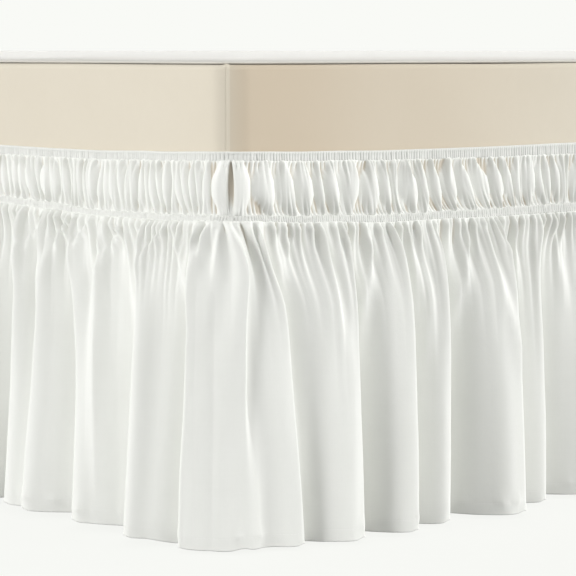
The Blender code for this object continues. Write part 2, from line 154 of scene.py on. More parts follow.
# Creases of the heading near the corner: s at the casing, halfway, at the line.
CREASES = (
    (-0.3883, -0.3781, -0.3769), (-0.3750, -0.3677, -0.3681), (-0.3605, -0.3552, -0.3558),
    (-0.3445, -0.3392, -0.3361), (-0.3294, -0.3214, -0.3166), (-0.3132, -0.3118, -0.3093),
    (-0.2999, -0.2920, -0.2936), (-0.2835, -0.2766, -0.2787), (-0.2728, -0.2702, -0.2712),
    (-0.2638, -0.2577, -0.2592), (-0.2539, -0.2515, -0.2515), (-0.2470, -0.2436, -0.2432),
    (-0.2323, -0.2341, -0.2312), (-0.2259, -0.2250, -0.2221), (-0.2023, -0.2068, -0.2102),
    (-0.1971, -0.1963, -0.1978), (-0.1870, -0.1838, -0.1859), (-0.1716, -0.1699, -0.1671),
    (-0.1547, -0.1573, -0.1597), (-0.1479, -0.1473, -0.1478), (-0.1332, -0.1355, -0.1367),
    (-0.1267, -0.1243, -0.1233), (-0.1147, -0.1157, -0.1135), (-0.1081, -0.1032, -0.1004),
    (-0.0952, -0.0920, -0.0923), (-0.0823, -0.0791, -0.0828), (-0.0712, -0.0723, -0.0668),
    (-0.0648, -0.0601, -0.0558), (-0.0508, -0.0489, -0.0448), (-0.0414, -0.0375, -0.0371),
    (-0.0291, -0.0288, -0.0316), (-0.0176, -0.0194, -0.0180), (0.0004, -0.0013, 0.0008),
    (0.0012, 0.0036, 0.0018), (0.0224, 0.0201, 0.0228), (0.0508, 0.0500, 0.0555),
    (0.0787, 0.0766, 0.0870), (0.0994, 0.1028, 0.1092), (0.1133, 0.1168, 0.1247),
    (0.1330, 0.1379, 0.1474), (0.1713, 0.1665, 0.1704), (0.1912, 0.1956, 0.2055),
    (0.2066, 0.2130, 0.2210), (0.2303, 0.2244, 0.2357), (0.2453, 0.2529, 0.2594),
    (0.2681, 0.2689, 0.2838), (0.2880, 0.2888, 0.3063), (0.3128, 0.3113, 0.3275),
    (0.3308, 0.3357, 0.3561), (0.3618, 0.3652, 0.3789), (0.3820, 0.3870, 0.3998),
    (0.3999, 0.4032, 0.4146), (0.4179, 0.4165, 0.4245), (0.4420, 0.4397, 0.4470),
    (0.4521, 0.4532, 0.4639), (0.4664, 0.4675, 0.4749), (0.4775, 0.4825, 0.4835),
    (0.4911, 0.4931, 0.4955), (0.5014, 0.4983, 0.5015),
)


# ------------------------------------------------------------------- girth
def on_girth(s, out):
    """Plan points at girth distance s, out from the base's side."""
    s, out = np.broadcast_arrays(np.asarray(s, float), np.asarray(out, float))
    t = (s + ARC / 2) % GIRTH
    x, y = np.zeros(t.shape), np.zeros(t.shape)
    half_w, half_l, r = BASE_WIDTH / 2, BASE_LENGTH / 2, BASE_CORNER
    passed = 0.0
    for cx, cy, start, run in (
        (half_w - r, r - half_l, -90.0, LONG_RUN),
        (half_w - r, half_l - r, 0.0, SHORT_RUN),
        (r - half_w, half_l - r, 90.0, LONG_RUN),
        (r - half_w, r - half_l, 180.0, SHORT_RUN),
    ):
        here = (t >= passed) & (t <= passed + ARC)
        a = math.radians(start) + (t[here] - passed) / r
        x[here] = cx + (r + out[here]) * np.cos(a)
        y[here] = cy + (r + out[here]) * np.sin(a)
        passed += ARC
        here = (t > passed) & (t <= passed + run)
        nx, ny = math.cos(math.radians(start + 90)), math.sin(math.radians(start + 90))
        along = t[here] - passed
        x[here] = cx + (r + out[here]) * nx - along * ny
        y[here] = cy + (r + out[here]) * ny + along * nx
        passed += run
    return x, y


def wrapped(s):
    return (s + GIRTH / 2) % GIRTH - GIRTH / 2


def levels(s):
    """Heights at s: skirt top, casing foot, heading foot, elastic line foot."""
    s = wrapped(np.asarray(s, float))
    rows = np.array([(LEVELS[0][0] - 0.35,) + LEVEL_REST] + list(LEVELS) + [(LEVELS[-1][0] + 0.35,) + LEVEL_REST])
    i = np.clip(np.searchsorted(rows[:, 0], s) - 1, 0, len(rows) - 2)
    t = np.clip((s - rows[i, 0]) / (rows[i + 1, 0] - rows[i, 0]), 0, 1)
    t = t * t * (3 - 2 * t)
    lift, casing, heading, line = (rows[i, k] + (rows[i + 1, k] - rows[i, k]) * t for k in (1, 2, 3, 4))
    sway = 0.0009 * np.sin(s * 5.3 + 0.7) + 0.0006 * np.sin(s * 11.9)
    away = np.clip((np.abs(s) - 0.5) / 0.4, 0, 1)
    top = SKIRT_TOP + lift + sway * away
    return top, top - casing, top - heading - sway * away, top - line


def knots():
    """Valleys and ridges of the drop round the girth, as in the CAD."""
    rng = random.Random(41)
    rows = []

    def valley(s, out):
        rows.append(["valley", s, s, s, out, 1.0])

    def ridge(top, mid, hem, out, swell):
        rows.append(["ridge", top, mid, hem, out, swell])

    def fill(start, end, count):
        weights = [rng.uniform(0.62, 1.42) for _ in range(count)]
        total = sum(weights)
        s = start
        for i, w in enumerate(weights):
            width = (end - start) * w / total
            if i:
                valley(s, rng.uniform(0.006, 0.016))
            crest = s + width * rng.uniform(0.42, 0.58)
            lean = rng.uniform(-0.011, 0.011)
            out = 0.030 + 0.33 * min(width, 0.095) + rng.uniform(-0.006, 0.006)
            ridge(crest + lean, crest + lean * 0.6, crest, out, rng.uniform(0.6, 1.0))
            s += width

    valley(SEAM_FOOT - GIRTH, 0.0090)
    fill(SEAM_FOOT - GIRTH, FOLDS[0][0], 4)
    for v, v_out, top, mid, hem, out, swell in FOLDS:
        valley(v, v_out)
        ridge(top, mid, hem, out, swell)
    valley(*LAST_VALLEY)
    fill(LAST_VALLEY[0], SEAM_RIGHT, 6)
    for start, end in ((SEAM_RIGHT, SEAM_HEAD), (SEAM_HEAD, SEAM_LEFT), (SEAM_LEFT, SEAM_FOOT)):
        valley(start, 0.0090)
        fill(start, end, round((end - start) / PITCH))
    valley(SEAM_FOOT, 0.0090)
    for i in range(1, len(rows) - 1):
        if rows[i][0] == "valley" and not any(
            abs(rows[i][3] - seam) < 1e-6 for seam in (SEAM_RIGHT, SEAM_HEAD, SEAM_LEFT)
        ):
            a, b = rows[i - 1], rows[i + 1]
            share = (rows[i][3] - a[3]) / (b[3] - a[3])
            rows[i][1] = a[1] + (b[1] - a[1]) * share
            rows[i][2] = a[2] + (b[2] - a[2]) * share
    return rows


def smooth(t):
    t = np.clip(t, 0, 1)
    return t * t * (3 - 2 * t)


def peak(x, power=1.5):
    """1 at x = 0, falling to 0 at |x| = 1, with a crest that is nearly sharp."""
    return np.clip(1 - np.sqrt(x * x + 0.012) + 0.11, 0, 1) ** power


# ------------------------------------------------------------------ meshes
def grid_piece(name, points, uv, material, wrap=False, hollow=None):
    """A piece from a grid (columns, rows, 3), columns along s and rows going down.
    uv is (columns, rows, 2) in metres, with one column more where it wraps; hollow is how closely each point is pressed
    to the base, 0 to 1, and sets how much painted crease shade the cloth gets."""
    cols, rows, _ = points.shape
    c, r = np.meshgrid(np.arange(cols if wrap else cols - 1), np.arange(rows - 1), indexing="ij")
    n = (c + 1) % cols
    quads = np.stack([c * rows + r, c * rows + r + 1, n * rows + r + 1, n * rows + r], -1).reshape(-1, 4)
    mesh = bpy.data.meshes.new(name)
    mesh.vertices.add(cols * rows)
    mesh.vertices.foreach_set("co", points.reshape(-1).astype(np.float32))
    mesh.loops.add(quads.size)
    mesh.loops.foreach_set("vertex_index", quads.ravel().astype(np.int32))
    mesh.polygons.add(len(quads))
    mesh.polygons.foreach_set("loop_start", np.arange(0, quads.size, 4, dtype=np.int32))
    mesh.update(calc_edges=True)
    layer = mesh.uv_layers.new(name="UVMap")
    corners = np.stack([uv[c, r], uv[c, r + 1], uv[c + 1, r + 1], uv[c + 1, r]], -2).reshape(-1)
    layer.data.foreach_set("uv", corners.astype(np.float32))
    mesh.polygons.foreach_set("use_smooth", np.ones(len(quads), bool))
    if hollow is not None:
        layer = mesh.attributes.new("hollow", "FLOAT", "POINT")
        layer.data.foreach_set("value", hollow.reshape(-1).astype(np.float32))
    mesh.materials.append(material)
    obj = bpy.data.objects.new(name, mesh)
    bpy.context.scene.collection.objects.link(obj)
    return obj


def flat_uv(points, wrap=False):
    """UV in metres of cloth: arc lengths along the columns and down the rows."""
    if wrap:
        points = np.concatenate([points, points[:1]])
    across = np.linalg.norm(np.diff(points, axis=0), axis=2).mean(1)
    u = np.concatenate([[0], np.cumsum(across)])
    down = np.linalg.norm(np.diff(points, axis=1), axis=2).mean(0)
    v = -np.concatenate([[0], np.cumsum(down)])
    return np.stack(np.meshgrid(u, v, indexing="ij"), -1)


def outward(points):
    """Unit normals of a grid, on its outer side."""
    du = np.gradient(points, axis=0)
    dv = np.gradient(points, axis=1)
    n = np.cross(dv, du)
    return n / np.maximum(np.linalg.norm(n, axis=2, keepdims=True), 1e-12)


# --------------------------------------------------------------- materials
class Nodes:
    """Short helpers over one material's node tree."""

    def __init__(self, name):
        self.mat = bpy.data.materials.new(name)
        self.mat.use_nodes = True
        self.tree = self.mat.node_tree
        self.shader = self.tree.nodes["Principled BSDF"]

    def add(self, kind, **settings):
        node = self.tree.nodes.new(kind)
        for key, value in settings.items():
            setattr(node, key, value)
        return node

    def put(self, value, socket):
        if isinstance(value, (int, float)):
            socket.default_value = value
        elif isinstance(value, tuple):
            socket.default_value = value
        else:
            self.tree.links.new(value, socket)

    def math(self, op, a, b=None, c=None):
        node = self.add("ShaderNodeMath", operation=op)
        for i, value in enumerate((a, b, c)):
            if value is not None:
                self.put(value, node.inputs[i])
        return node.outputs[0]

    def noise(self, vector, scale, detail=2.0, roughness=0.5):
        node = self.add("ShaderNodeTexNoise")
        self.put(vector, node.inputs["Vector"])
        node.inputs["Scale"].default_value = scale
        node.inputs["Detail"].default_value = detail
        node.inputs["Roughness"].default_value = roughness
        return node.outputs["Fac"]

    def ramp(self, value, low, high, to_low, to_high):
        node = self.add("ShaderNodeMapRange", interpolation_type="SMOOTHSTEP")
        self.put(value, node.inputs["Value"])
        for key, x in (("From Min", low), ("From Max", high), ("To Min", to_low), ("To Max", to_high)):
            node.inputs[key].default_value = x
        return node.outputs["Result"]

    def mix(self, factor, a, b):
        node = self.add("ShaderNodeMix", data_type="RGBA")
        self.put(factor, node.inputs[0])
        self.put(a, node.inputs[6])
        self.put(b, node.inputs[7])
        return node.outputs[2]

    def bump(self, height, distance, strength=1.0, normal=None):
        node = self.add("ShaderNodeBump")
        node.inputs["Strength"].default_value = strength
        node.inputs["Distance"].default_value = distance
        self.put(height, node.inputs["Height"])
        if normal is not None:
            self.put(normal, node.inputs["Normal"])
        return node.outputs["Normal"]

    def weave(self, u, v, pitch):
        """Plain weave: (height, 0 in the pores between threads)."""
        turn = math.pi / pitch
        su = self.math("SINE", self.math("MULTIPLY", u, turn))
        sv = self.math("SINE", self.math("MULTIPLY", v, turn))
        over = self.math("MULTIPLY", su, sv)
        au, av = self.math("ABSOLUTE", su), self.math("ABSOLUTE", sv)
        warp = self.math("MULTIPLY", self.math("ADD", self.math("MULTIPLY", over, 0.5), 0.5), au)
        weft = self.math("MULTIPLY", self.math("ADD", self.math("MULTIPLY", over, -0.5), 0.5), av)
        height = self.math("MAXIMUM", warp, weft)
        pore = self.math("MAXIMUM", au, av)
        return height, pore


def cloth_material(name, light, dark, weave_pitch, stitches=(), crinkle=0.0, sheen=0.30):
    """White microfibre cloth. stitches: heights above the hem of sewn rows."""
    m = Nodes(name)
    uv = m.add("ShaderNodeTexCoord").outputs["UV"]
    place = m.add("ShaderNodeTexCoord").outputs["Object"]
    split = m.add("ShaderNodeSeparateXYZ")
    m.put(uv, split.inputs[0])
    # the threads wander a little
    wander = m.noise(uv, 55.0, 1.0)
    shift = m.math("MULTIPLY", m.math("SUBTRACT", wander, 0.5), 0.0006)
    u = m.math("ADD", split.outputs["X"], shift)
    v = m.math("ADD", split.outputs["Y"], shift)
    height, pore = m.weave(u, v, weave_pitch)
    # slubs: long faint threads that are a little thicker or brighter
    stretch = m.add("ShaderNodeMapping")
    m.put(uv, stretch.inputs["Vector"])
    stretch.inputs["Scale"].default_value = (520.0, 14.0, 1.0)
    slub = m.noise(stretch.outputs[0], 1.0, 2.0)
    stretch2 = m.add("ShaderNodeMapping")
    m.put(uv, stretch2.inputs["Vector"])
    stretch2.inputs["Scale"].default_value = (11.0, 480.0, 1.0)
    slub2 = m.noise(stretch2.outputs[0], 1.0, 2.0)
    cloud = m.noise(place, 5.0, 3.0)
    mottle = m.noise(place, 42.0, 3.0)
    tone = m.math("ADD", m.math("MULTIPLY", cloud, 0.42), m.math("MULTIPLY", mottle, 0.22))
    tone = m.math("ADD", tone, m.math("MULTIPLY", m.math("ADD", slub, slub2), 0.10))
    tone = m.math("ADD", tone, m.math("MULTIPLY", pore, 0.20))
    colour = m.mix(m.ramp(tone, 0.30, 0.74, 0.0, 1.0), dark + (1.0,), light + (1.0,))
    surface = m.bump(height, 0.00005, 0.55)
    surface = m.bump(m.math("ADD", slub, slub2), 0.00008, 0.35, surface)
    creases = m.noise(place, 95.0, 3.0, 0.55)
    surface = m.bump(creases, 0.0005 + crinkle, 0.35, surface)
    for level in stitches:
        # a row of lock stitches: short threads lying in a pressed groove
        off = m.math("ABSOLUTE", m.math("SUBTRACT", split.outputs["Y"], level))
        groove = m.ramp(off, 0.0003, 0.0016, 0.0, 1.0)
        surface = m.bump(groove, 0.00007, 0.5, surface)
        run = m.math("FRACT", m.math("MULTIPLY", split.outputs["X"], 1 / 0.0030))
        length = m.ramp(m.math("ABSOLUTE", m.math("SUBTRACT", run, 0.5)), 0.30, 0.42, 1.0, 0.0)
        thread = m.math("MULTIPLY", m.ramp(off, 0.0002, 0.0005, 1.0, 0.0), length)
        surface = m.bump(thread, 0.00012, 0.6, surface)
        # painted shade: the pressed groove is darkened a little
        colour = m.mix(m.math("MULTIPLY", m.math("SUBTRACT", 1.0, groove), 0.05), colour, (0.70, 0.70, 0.67, 1.0))
        colour = m.mix(m.math("MULTIPLY", thread, 0.25), colour, (0.84, 0.84, 0.82, 1.0))
    # painted shade: where the cloth lies close to the base, in the deep creases, it is tinted a dark warm beige
    hollow = m.add("ShaderNodeAttribute", attribute_name="hollow").outputs["Fac"]
    colour = m.mix(m.math("MULTIPLY", hollow, 0.85), colour, (0.560, 0.498, 0.402, 1.0))
    m.put(colour, m.shader.inputs["Base Color"])
    m.put(m.ramp(mottle, 0.3, 0.7, 0.78, 0.92), m.shader.inputs["Roughness"])
    m.put(surface, m.shader.inputs["Normal"])
    m.shader.inputs["Sheen Weight"].default_value = sheen
    m.shader.inputs["Sheen Roughness"].default_value = 0.45
    m.shader.inputs["Specular IOR Level"].default_value = 0.25
    return m.mat


def upholstery_material():
    """Beige cover of the base: plain weave, faintly mottled, and darkened just past each corner by painted shade that
    fades along the side."""
    m = Nodes("beige_upholstery_cloth")
    uv = m.add("ShaderNodeTexCoord").outputs["UV"]
    place = m.add("ShaderNodeTexCoord").outputs["Object"]
    split = m.add("ShaderNodeSeparateXYZ")
    m.put(uv, split.inputs[0])
    wander = m.noise(uv, 35.0, 1.0)
    shift = m.math("MULTIPLY", m.math("SUBTRACT", wander, 0.5), 0.0012)
    height, pore = m.weave(
        m.math("ADD", split.outputs["X"], shift), m.math("ADD", split.outputs["Y"], shift), 0.00075
    )
    cloud = m.noise(place, 6.0, 3.0)
    mottle = m.noise(place, 70.0, 4.0, 0.6)
    fine = m.noise(place, 600.0, 2.0)
    tone = m.math("ADD", m.math("MULTIPLY", cloud, 0.40), m.math("MULTIPLY", mottle, 0.25))
    tone = m.math("ADD", tone, m.math("ADD", m.math("MULTIPLY", fine, 0.10), m.math("MULTIPLY", pore, 0.20)))
    colour = m.mix(m.ramp(tone, 0.32, 0.72, 0.0, 1.0), BEIGE_DARK + (1.0,), BEIGE_LIGHT + (1.0,))
    # distance past the last corner, along the girth, over which painted shade darkens the cover
    for corner in CORNERS:
        past = m.math("SUBTRACT", split.outputs["X"], corner % GIRTH)
        near = m.math(
            "MULTIPLY",
            m.ramp(past, -0.024, 0.022, 0.0, 1.0),
            m.math("ADD", m.ramp(past, 0.06, 0.23, 0.42, 0.0), m.ramp(past, 0.22, 0.56, 0.58, 0.0)),
        )
        # painted shade: the cover is mixed towards a deep beige just past each corner
        colour = m.mix(m.math("MULTIPLY", near, CORNER_PAINTED_SHADE), colour, BEIGE_PAINTED_SHADE + (1.0,))
    surface = m.bump(height, 0.00009, 0.6)
    surface = m.bump(mottle, 0.0005, 0.30, surface)
    m.put(colour, m.shader.inputs["Base Color"])
    m.put(m.ramp(mottle, 0.3, 0.7, 0.80, 0.94), m.shader.inputs["Roughness"])
    m.put(surface, m.shader.inputs["Normal"])
    m.shader.inputs["Sheen Weight"].default_value = 0.12
    m.shader.inputs["Sheen Roughness"].default_value = 0.5
    m.shader.inputs["Specular IOR Level"].default_value = 0.2
    return m.mat


BEIGE_LIGHT = (0.637, 0.587, 0.490)
BEIGE_DARK = (0.606, 0.554, 0.456)
# a deep beige and its strength, painted as shade just past each corner
BEIGE_PAINTED_SHADE = (0.483, 0.388, 0.275)
CORNER_PAINTED_SHADE = 0.62

white = cloth_material("white_microfibre", (0.778, 0.786, 0.751), (0.740, 0.747, 0.710), 0.00034, stitches=(-0.0,))
# painted light: the heading is the same white cloth as the drop, given a lighter copy of its colour
heading_white_painted_lighter = cloth_material("white_microfibre_heading_painted_lighter", (0.800, 0.808, 0.773), (0.761, 0.768, 0.730), 0.00034)
elastic = cloth_material("white_shirred_elastic", (0.715, 0.721, 0.690), (0.672, 0.678, 0.646), 0.00030, crinkle=0.0004)
beige = upholstery_material()
top_cloth = cloth_material("pale_top_cloth_weave", (0.600, 0.585, 0.532), (0.557, 0.541, 0.492), 0.00060)

# ------------------------------------------------------------------ the drop
FOLD_KNOTS = knots()
COURSE_TABLES = (None, {})


def knot_line(knot, u):
    """(s, out) of a knot at depths u, 0 under the elastic and 1 at the hem."""
    kind, top, mid, hem, out, swell = knot
    t = np.clip(u / 0.3, 0, 1)
    upper = top + (mid - top) * np.sin(t * math.pi / 2)
    t = np.clip((u - 0.3) / 0.7, 0, 1)
    lower = mid + (hem - mid) * (t * t * (3 - 2 * t) if abs(hem - mid) < 0.004 else t)
    s = np.where(u < 0.3, upper, lower)
    start = 0.0050 if kind == "valley" else 0.0068
    u = np.clip(u, 0, 1)
    return s, start + (out - start) * u ** swell * (1 - np.exp(-u / 0.09))


def smoothed_courses():
    """The finer courses as even tables over the depth, by place in FOLD_KNOTS."""
    even = np.linspace(-0.15, 1.15, 261)
    bell = np.exp(-((np.arange(-20, 21) / 7.0) ** 2))
    bell /= bell.sum()
    tables = {}
    for i, knot in enumerate(FOLD_KNOTS):
        for place, course in COURSES.items():
            if knot[0] == "ridge" and abs(knot[3] - FOLDS[place][4]) < 1e-9:
                course = np.array(course)
                columns = [np.interp(even, course[:, 0], course[:, k]) for k in range(1, course.shape[1])]
                tables[i] = [np.convolve(np.pad(c, 20, mode="edge"), bell, mode="valid") for c in columns]
    return even, tables


CORNER_VALLEY = [abs(k[3] - FOLDS[7][0]) < 1e-9 for k in FOLD_KNOTS].index(True)


def knot_at(i, u):
    """(s, out) of knot i at depths u. Near the foot-right corner a valley keeps
    close to the ridge beside it whose far flank is steep."""
    knot = FOLD_KNOTS[i]
    s, out = knot_line(knot, u)
    even, tables = COURSE_TABLES
    if i in tables:
        s = np.interp(u, even, tables[i][0])
        if len(tables[i]) > 1:
            out = np.interp(u, even, tables[i][1])
        else:
            # fuller in the upper half than the first law gives, and leaning with it
            less, early, lean = (0.011, 0.24, 1.14) if knot[3] < -0.06 else (0.0, 0.10, 1.14 if knot[3] < 0 else -0.876)
            if abs(knot[3] - FOLDS[8][4]) < 1e-9:
                less = 0.013
            full = knot_line(knot[:4] + [knot[4] - less, knot[5] - early], u)[1]
            s = s + lean * (full - out)
            out = full
    elif knot[0] == "valley" and FOLDS[0][0] < knot[3] < LAST_VALLEY[0] and abs(knot[3]) > 0.02:
        left = knot[3] < 0
        steep_s, steep_out = knot_at(i + 1 if left else i - 1, u)
        other_s, _ = knot_at(i - 1 if left else i + 1, u)
        wide = (0.60 if left else 0.55) * (steep_out - out)
        wide = 0.0028 + 0.012 * smooth((u - 0.50) / 0.40) if i == CORNER_VALLEY else np.maximum(wide, 0.010)
        wide = np.minimum(wide, 0.55 * np.abs(other_s - steep_s))
        s = steep_s + (-wide if left else wide)
    return s, out


def bevel(t, low, high):
    """0 to 1 as a straight slope, eased in over the share low and out over high."""
    t = np.clip(t, 0, 1)
    total = 1 - low / 2 - high / 2
    rise = np.where(
        t < low, t * t / (2 * low),
        np.where(t > 1 - high, total - (1 - t) ** 2 / (2 * high), low / 2 + (t - low)),
    )
    return rise / total


def fold_crest(x, deep, place, wide=1.0, hollow=0.28):
    """A thin pleat's height over distance x from its line: narrow at the elastic,
    wider below, and steeper on the side that looks away from the corner."""
    side = 1.0 if wrapped(place) > 0 else -1.0
    width = (0.0046 + 0.0085 * smooth(deep / 0.075)) * wide
    outer = x * side > 0
    reach = np.where(outer, 0.72 * width, 1.30 * width)
    ridge = peak(x / reach, 1.55)
    trough = np.exp(-(((x * side - 0.95 * width) / (0.42 * width)) ** 2))
    return ridge - hollow * trough


def lesser_ridges(rng):
    """Lesser ridges round the whole girth: (u, s) lines, heights and half-widths."""
    ridges = []
    for line, height in LESSER:
        ridges.append((np.array(line), height, 0.0130 if height > 0.008 else 0.0105))
    for knot in FOLD_KNOTS:
        if knot[0] != "ridge":
            continue
        if FOLDS[0][2] - 0.01 < knot[1] < FOLDS[-1][2] + 0.01:
            continue
        for side in (-1, 1):
            if rng.random() < 0.12:
                continue
            reach = rng.uniform(0.013, 0.025)
            end = rng.uniform(0.12, 0.45)
            top = knot[1] + side * reach
            low = knot[1] + (knot[2] - knot[1]) * min(1, end / 0.3) + side * reach * rng.uniform(0.25, 0.5)
            line = np.array([(0.0, top), (end * 0.4, top + (low - top) * 0.55), (end, low)])
            ridges.append((line, rng.uniform(0.0035, 0.0065), rng.uniform(0.008, 0.012)))
    return ridges


def pillows(start, end, rng, pitch, height, reach, column_s, dist, grow=0.007):
    """Rounded pleats side by side with sharp creases between them, dying away over
    each one's own reach. Their mean height is nearly nil."""
    edges, tall, far = [start], [], []
    while edges[-1] < end - pitch[0]:
        scale = 1.0 if CLOSE[0] < edges[-1] < CLOSE[1] else 1.3
        edges.append(min(end, edges[-1] + rng.uniform(*pitch) * scale))
        tall.append(rng.uniform(*height) * scale)
        far.append(rng.uniform(*reach) * (1.5 if rng.random() < 0.2 else 1.0))
    edges, tall, far = np.array(edges), np.array(tall), np.array(far)
    i = np.clip(np.searchsorted(edges, column_s, side="right") - 1, 0, len(tall) - 1)
    t = (column_s - edges[i]) / (edges[i + 1] - edges[i])
    skew = np.clip(t, 0, 1) ** np.where(wrapped(column_s) > 0, 1.35, 0.74)
    shape = 1 - np.abs(2 * skew - 1) ** 1.8
    # the reach is smoothed from pleat to pleat so that the creases stay whole
    mid = (edges[:-1] + edges[1:]) / 2
    length = np.interp(column_s, mid, far)
    amount = np.interp(column_s, mid, tall)
    fade = np.exp(-((dist / length[:, None]) ** 1.4)) * (0.30 + 0.70 * smooth(dist / grow))
    return amount[:, None] * fade * (shape[:, None] - 0.55)


def depth_rows(fine):
    """Rows of the drop: (share of the drop's depth, plus metres)."""
    if fine:
        upper = (0.0, 0.0012, 0.0026, 0.0042, 0.0060, 0.0080, 0.0104, 0.0132, 0.0165, 0.0205, 0.025,
                 0.0305, 0.037, 0.0445, 0.053, 0.0625, 0.073, 0.085, 0.098, 0.112, 0.127, 0.143, 0.160,
                 0.178, 0.196, 0.214, 0.232, 0.250, 0.267, 0.283, 0.297, 0.309)
    else:
        upper = (0.0, 0.0018, 0.0040, 0.0070, 0.0110, 0.0165, 0.0240, 0.034, 0.047, 0.063, 0.082,
                 0.104, 0.130, 0.160, 0.192, 0.224, 0.254, 0.282, 0.304)
    rows = [(0.0, h) for h in upper]
    lower = (0.0170, 0.0150, 0.0138, 0.0126, 0.0110, 0.0080, 0.0040, 0.0012, 0.0) if fine else (0.0150, 0.0130, 0.0110, 0.0050, 0.0)
    return rows + [(1.0, -h) for h in lower]


def drop_piece(name, start, end, seed):
    fine = start < 0 < end
    rng = random.Random(seed)
    first = min(i for i, k in enumerate(FOLD_KNOTS) if k[3] >= start - 1e-6)
    rows = [k for k in FOLD_KNOTS if start - 1e-6 <= k[3] <= end + 1e-6]

    # columns: an interval between two knots, and a share of it
    index, share = [], []
    for i, (a, b) in enumerate(zip(rows, rows[1:])):
        length = math.hypot(b[3] - a[3], b[4] - a[4])
        middle = (a[3] + b[3]) / 2
        step = 0.00110 if CLOSE[0] < middle < CLOSE[1] else 0.0031
        count = max(6, round(length / step))
        index += [i] * count
        share += [j / count for j in range(count)]
    index.append(len(rows) - 2)
    share.append(1.0)
    index, share = np.array(index), np.array(share)

    # rows of depth, in metres below the elastic line's foot, and as shares
    s_top = np.array([float(knot_at(first + i, np.array(0.0))[0]) for i in range(len(rows))])
    s_first = s_top[index] + (s_top[index + 1] - s_top[index]) * share
    line_foot = levels(s_first)[3]
    depths = depth_rows(fine)
    full = line_foot - HEM_HEIGHT
    deep = np.stack([full + h if a else full / 0.3344 * h for a, h in depths], 1)
    u = deep / full[:, None]

    s_all = np.zeros(u.shape)
    out_all = np.zeros(u.shape)
    for i, (a, b) in enumerate(zip(rows, rows[1:])):
        here = index == i
        if not here.any():
            continue
        uu = u[here]
        sa, oa = knot_at(first + i, uu)
        sb, ob = knot_at(first + i + 1, uu)
        t = share[here][:, None]
        if b[0] != "ridge":
            t = 1 - t
        rise = (1 - np.cos(math.pi * t)) / 2
        # near the top a ridge is narrow and its valley broad; lower down it rounds out
        narrow = 1.0 + 1.3 * (1 - np.clip(uu / 0.62, 0, 1)) ** 1.4
        middle = (a[3] + b[3]) / 2
        # near the corner the flank away from it is the steep one, and the other
        # is long and even: straight on the foot side, bowed on the right side
        left = -0.75 < middle < -0.012
        right = 0.012 < middle < 0.75
        formed = smooth((uu - 0.02) / 0.22)
        # the hollow beside the corner opens out and softens towards the hem
        soft = 0.40 * smooth((uu - 0.42) / 0.30) if CORNER_VALLEY in (first + i, first + i + 1) else 0.0
        if (left and b[0] == "ridge") or (right and a[0] == "ridge") or (first + i + 1 == CORNER_VALLEY):
            shape = bevel(t, 0.14 + soft, 0.35)
        elif left:
            at_arc = middle > -0.03
            shape = bevel(t, 0.24 if at_arc else 0.05, 0.26 if at_arc else np.clip(0.016 / np.maximum(np.abs(sb - sa), 1e-4), 0.10, 0.5))
        elif right:
            shape = bevel(t, 0.12 + soft, 0.78 - 0.75 * soft)
        else:
            formed = (0.0 if abs(middle) < 0.012 else 0.30) * smooth((uu - 0.10) / 0.40)
            shape = np.sin(math.pi / 2 * t)
        ease = (1 - formed) * rise ** narrow + formed * shape
        low, high = (oa, ob) if b[0] == "ridge" else (ob, oa)
        s_all[here] = sa + (sb - sa) * share[here][:, None]
        out_all[here] = low + (high - low) * ease

    # crests of the main folds near the top
    extra = np.zeros(u.shape)
    crests = []
    for i, k in enumerate(rows):
        if k[0] != "ridge":
            continue
        sk, _ = knot_at(first + i, u)
        crests.append(sk[:, -1])
        fade = np.clip(1 - u / 0.60, 0, 1) ** 1.1 * (0.20 + 0.80 * smooth(deep / 0.022))
        at_corner = -0.050 < k[3] < 0.045
        tall = 0.0100 if -0.75 < k[3] < -0.050 else 0.0070
        extra += tall * fade * fold_crest(s_all - sk, deep, k[1], hollow=0.06 if at_corner else 0.34)

    # lesser ridges
    for line, height, width in RIDGES:
        if line[:, 1].max() < start - 0.02 or line[:, 1].min() > end + 0.02:
            continue
        near = (s_first > line[:, 1].min() - 0.06) & (s_first < line[:, 1].max() + 0.06)
        if not near.any():
            continue
        uu = u[near]
        line_s = np.interp(uu, line[:, 0], line[:, 1])
        last = line[-1, 0]
        fade = np.clip(1 - uu / (last * 1.15), 0, 1) ** 0.65 * (0.20 + 0.80 * smooth(deep[near] / 0.018))
        extra[near] += 1.15 * height * fade * fold_crest(s_all[near] - line_s, deep[near], line[0, 1], width / 0.0105)
    out_all += extra

    # gathers under the elastic: small pillows between sharp creases, some of which
    # run on down between larger ones
    for pitch, height, reach in (
        ((0.0062, 0.0112), (0.0044, 0.0070), (0.014, 0.034)),
        ((0.0120, 0.0220), (0.0076, 0.0120), (0.026, 0.056)),
    ):
        foot_side = smooth((s_first + 0.75) / 0.2) * smooth((-0.01 - s_first) / 0.03)
        amount = 1 + (-0.58 if pitch[0] > 0.01 else 1.45) * foot_side
        right_side = smooth((s_first - 0.03) / 0.03) * smooth((0.9 - s_first) / 0.2)
        amount += (-0.25 if pitch[0] > 0.01 else 0.45) * right_side
        amount *= 1 - 0.45 * smooth((s_first + 0.075) / 0.02) * smooth((0.045 - s_first) / 0.02)
        out_all += amount[:, None] * pillows(start, end, rng, pitch, height, reach, s_first, deep)
    out_all = np.maximum(out_all, 0.0022)

    # slow unevenness of hanging cloth
    waves = np.zeros(u.shape)
    for _ in range(10):
        along, down, turn = rng.uniform(60, 240), rng.uniform(4, 26), rng.uniform(0, 6.3)
        waves += rng.uniform(0.10, 0.32) * np.sin(s_all * along + deep * down + turn)
    out_all += 0.0011 * waves * smooth(u * 2.2)

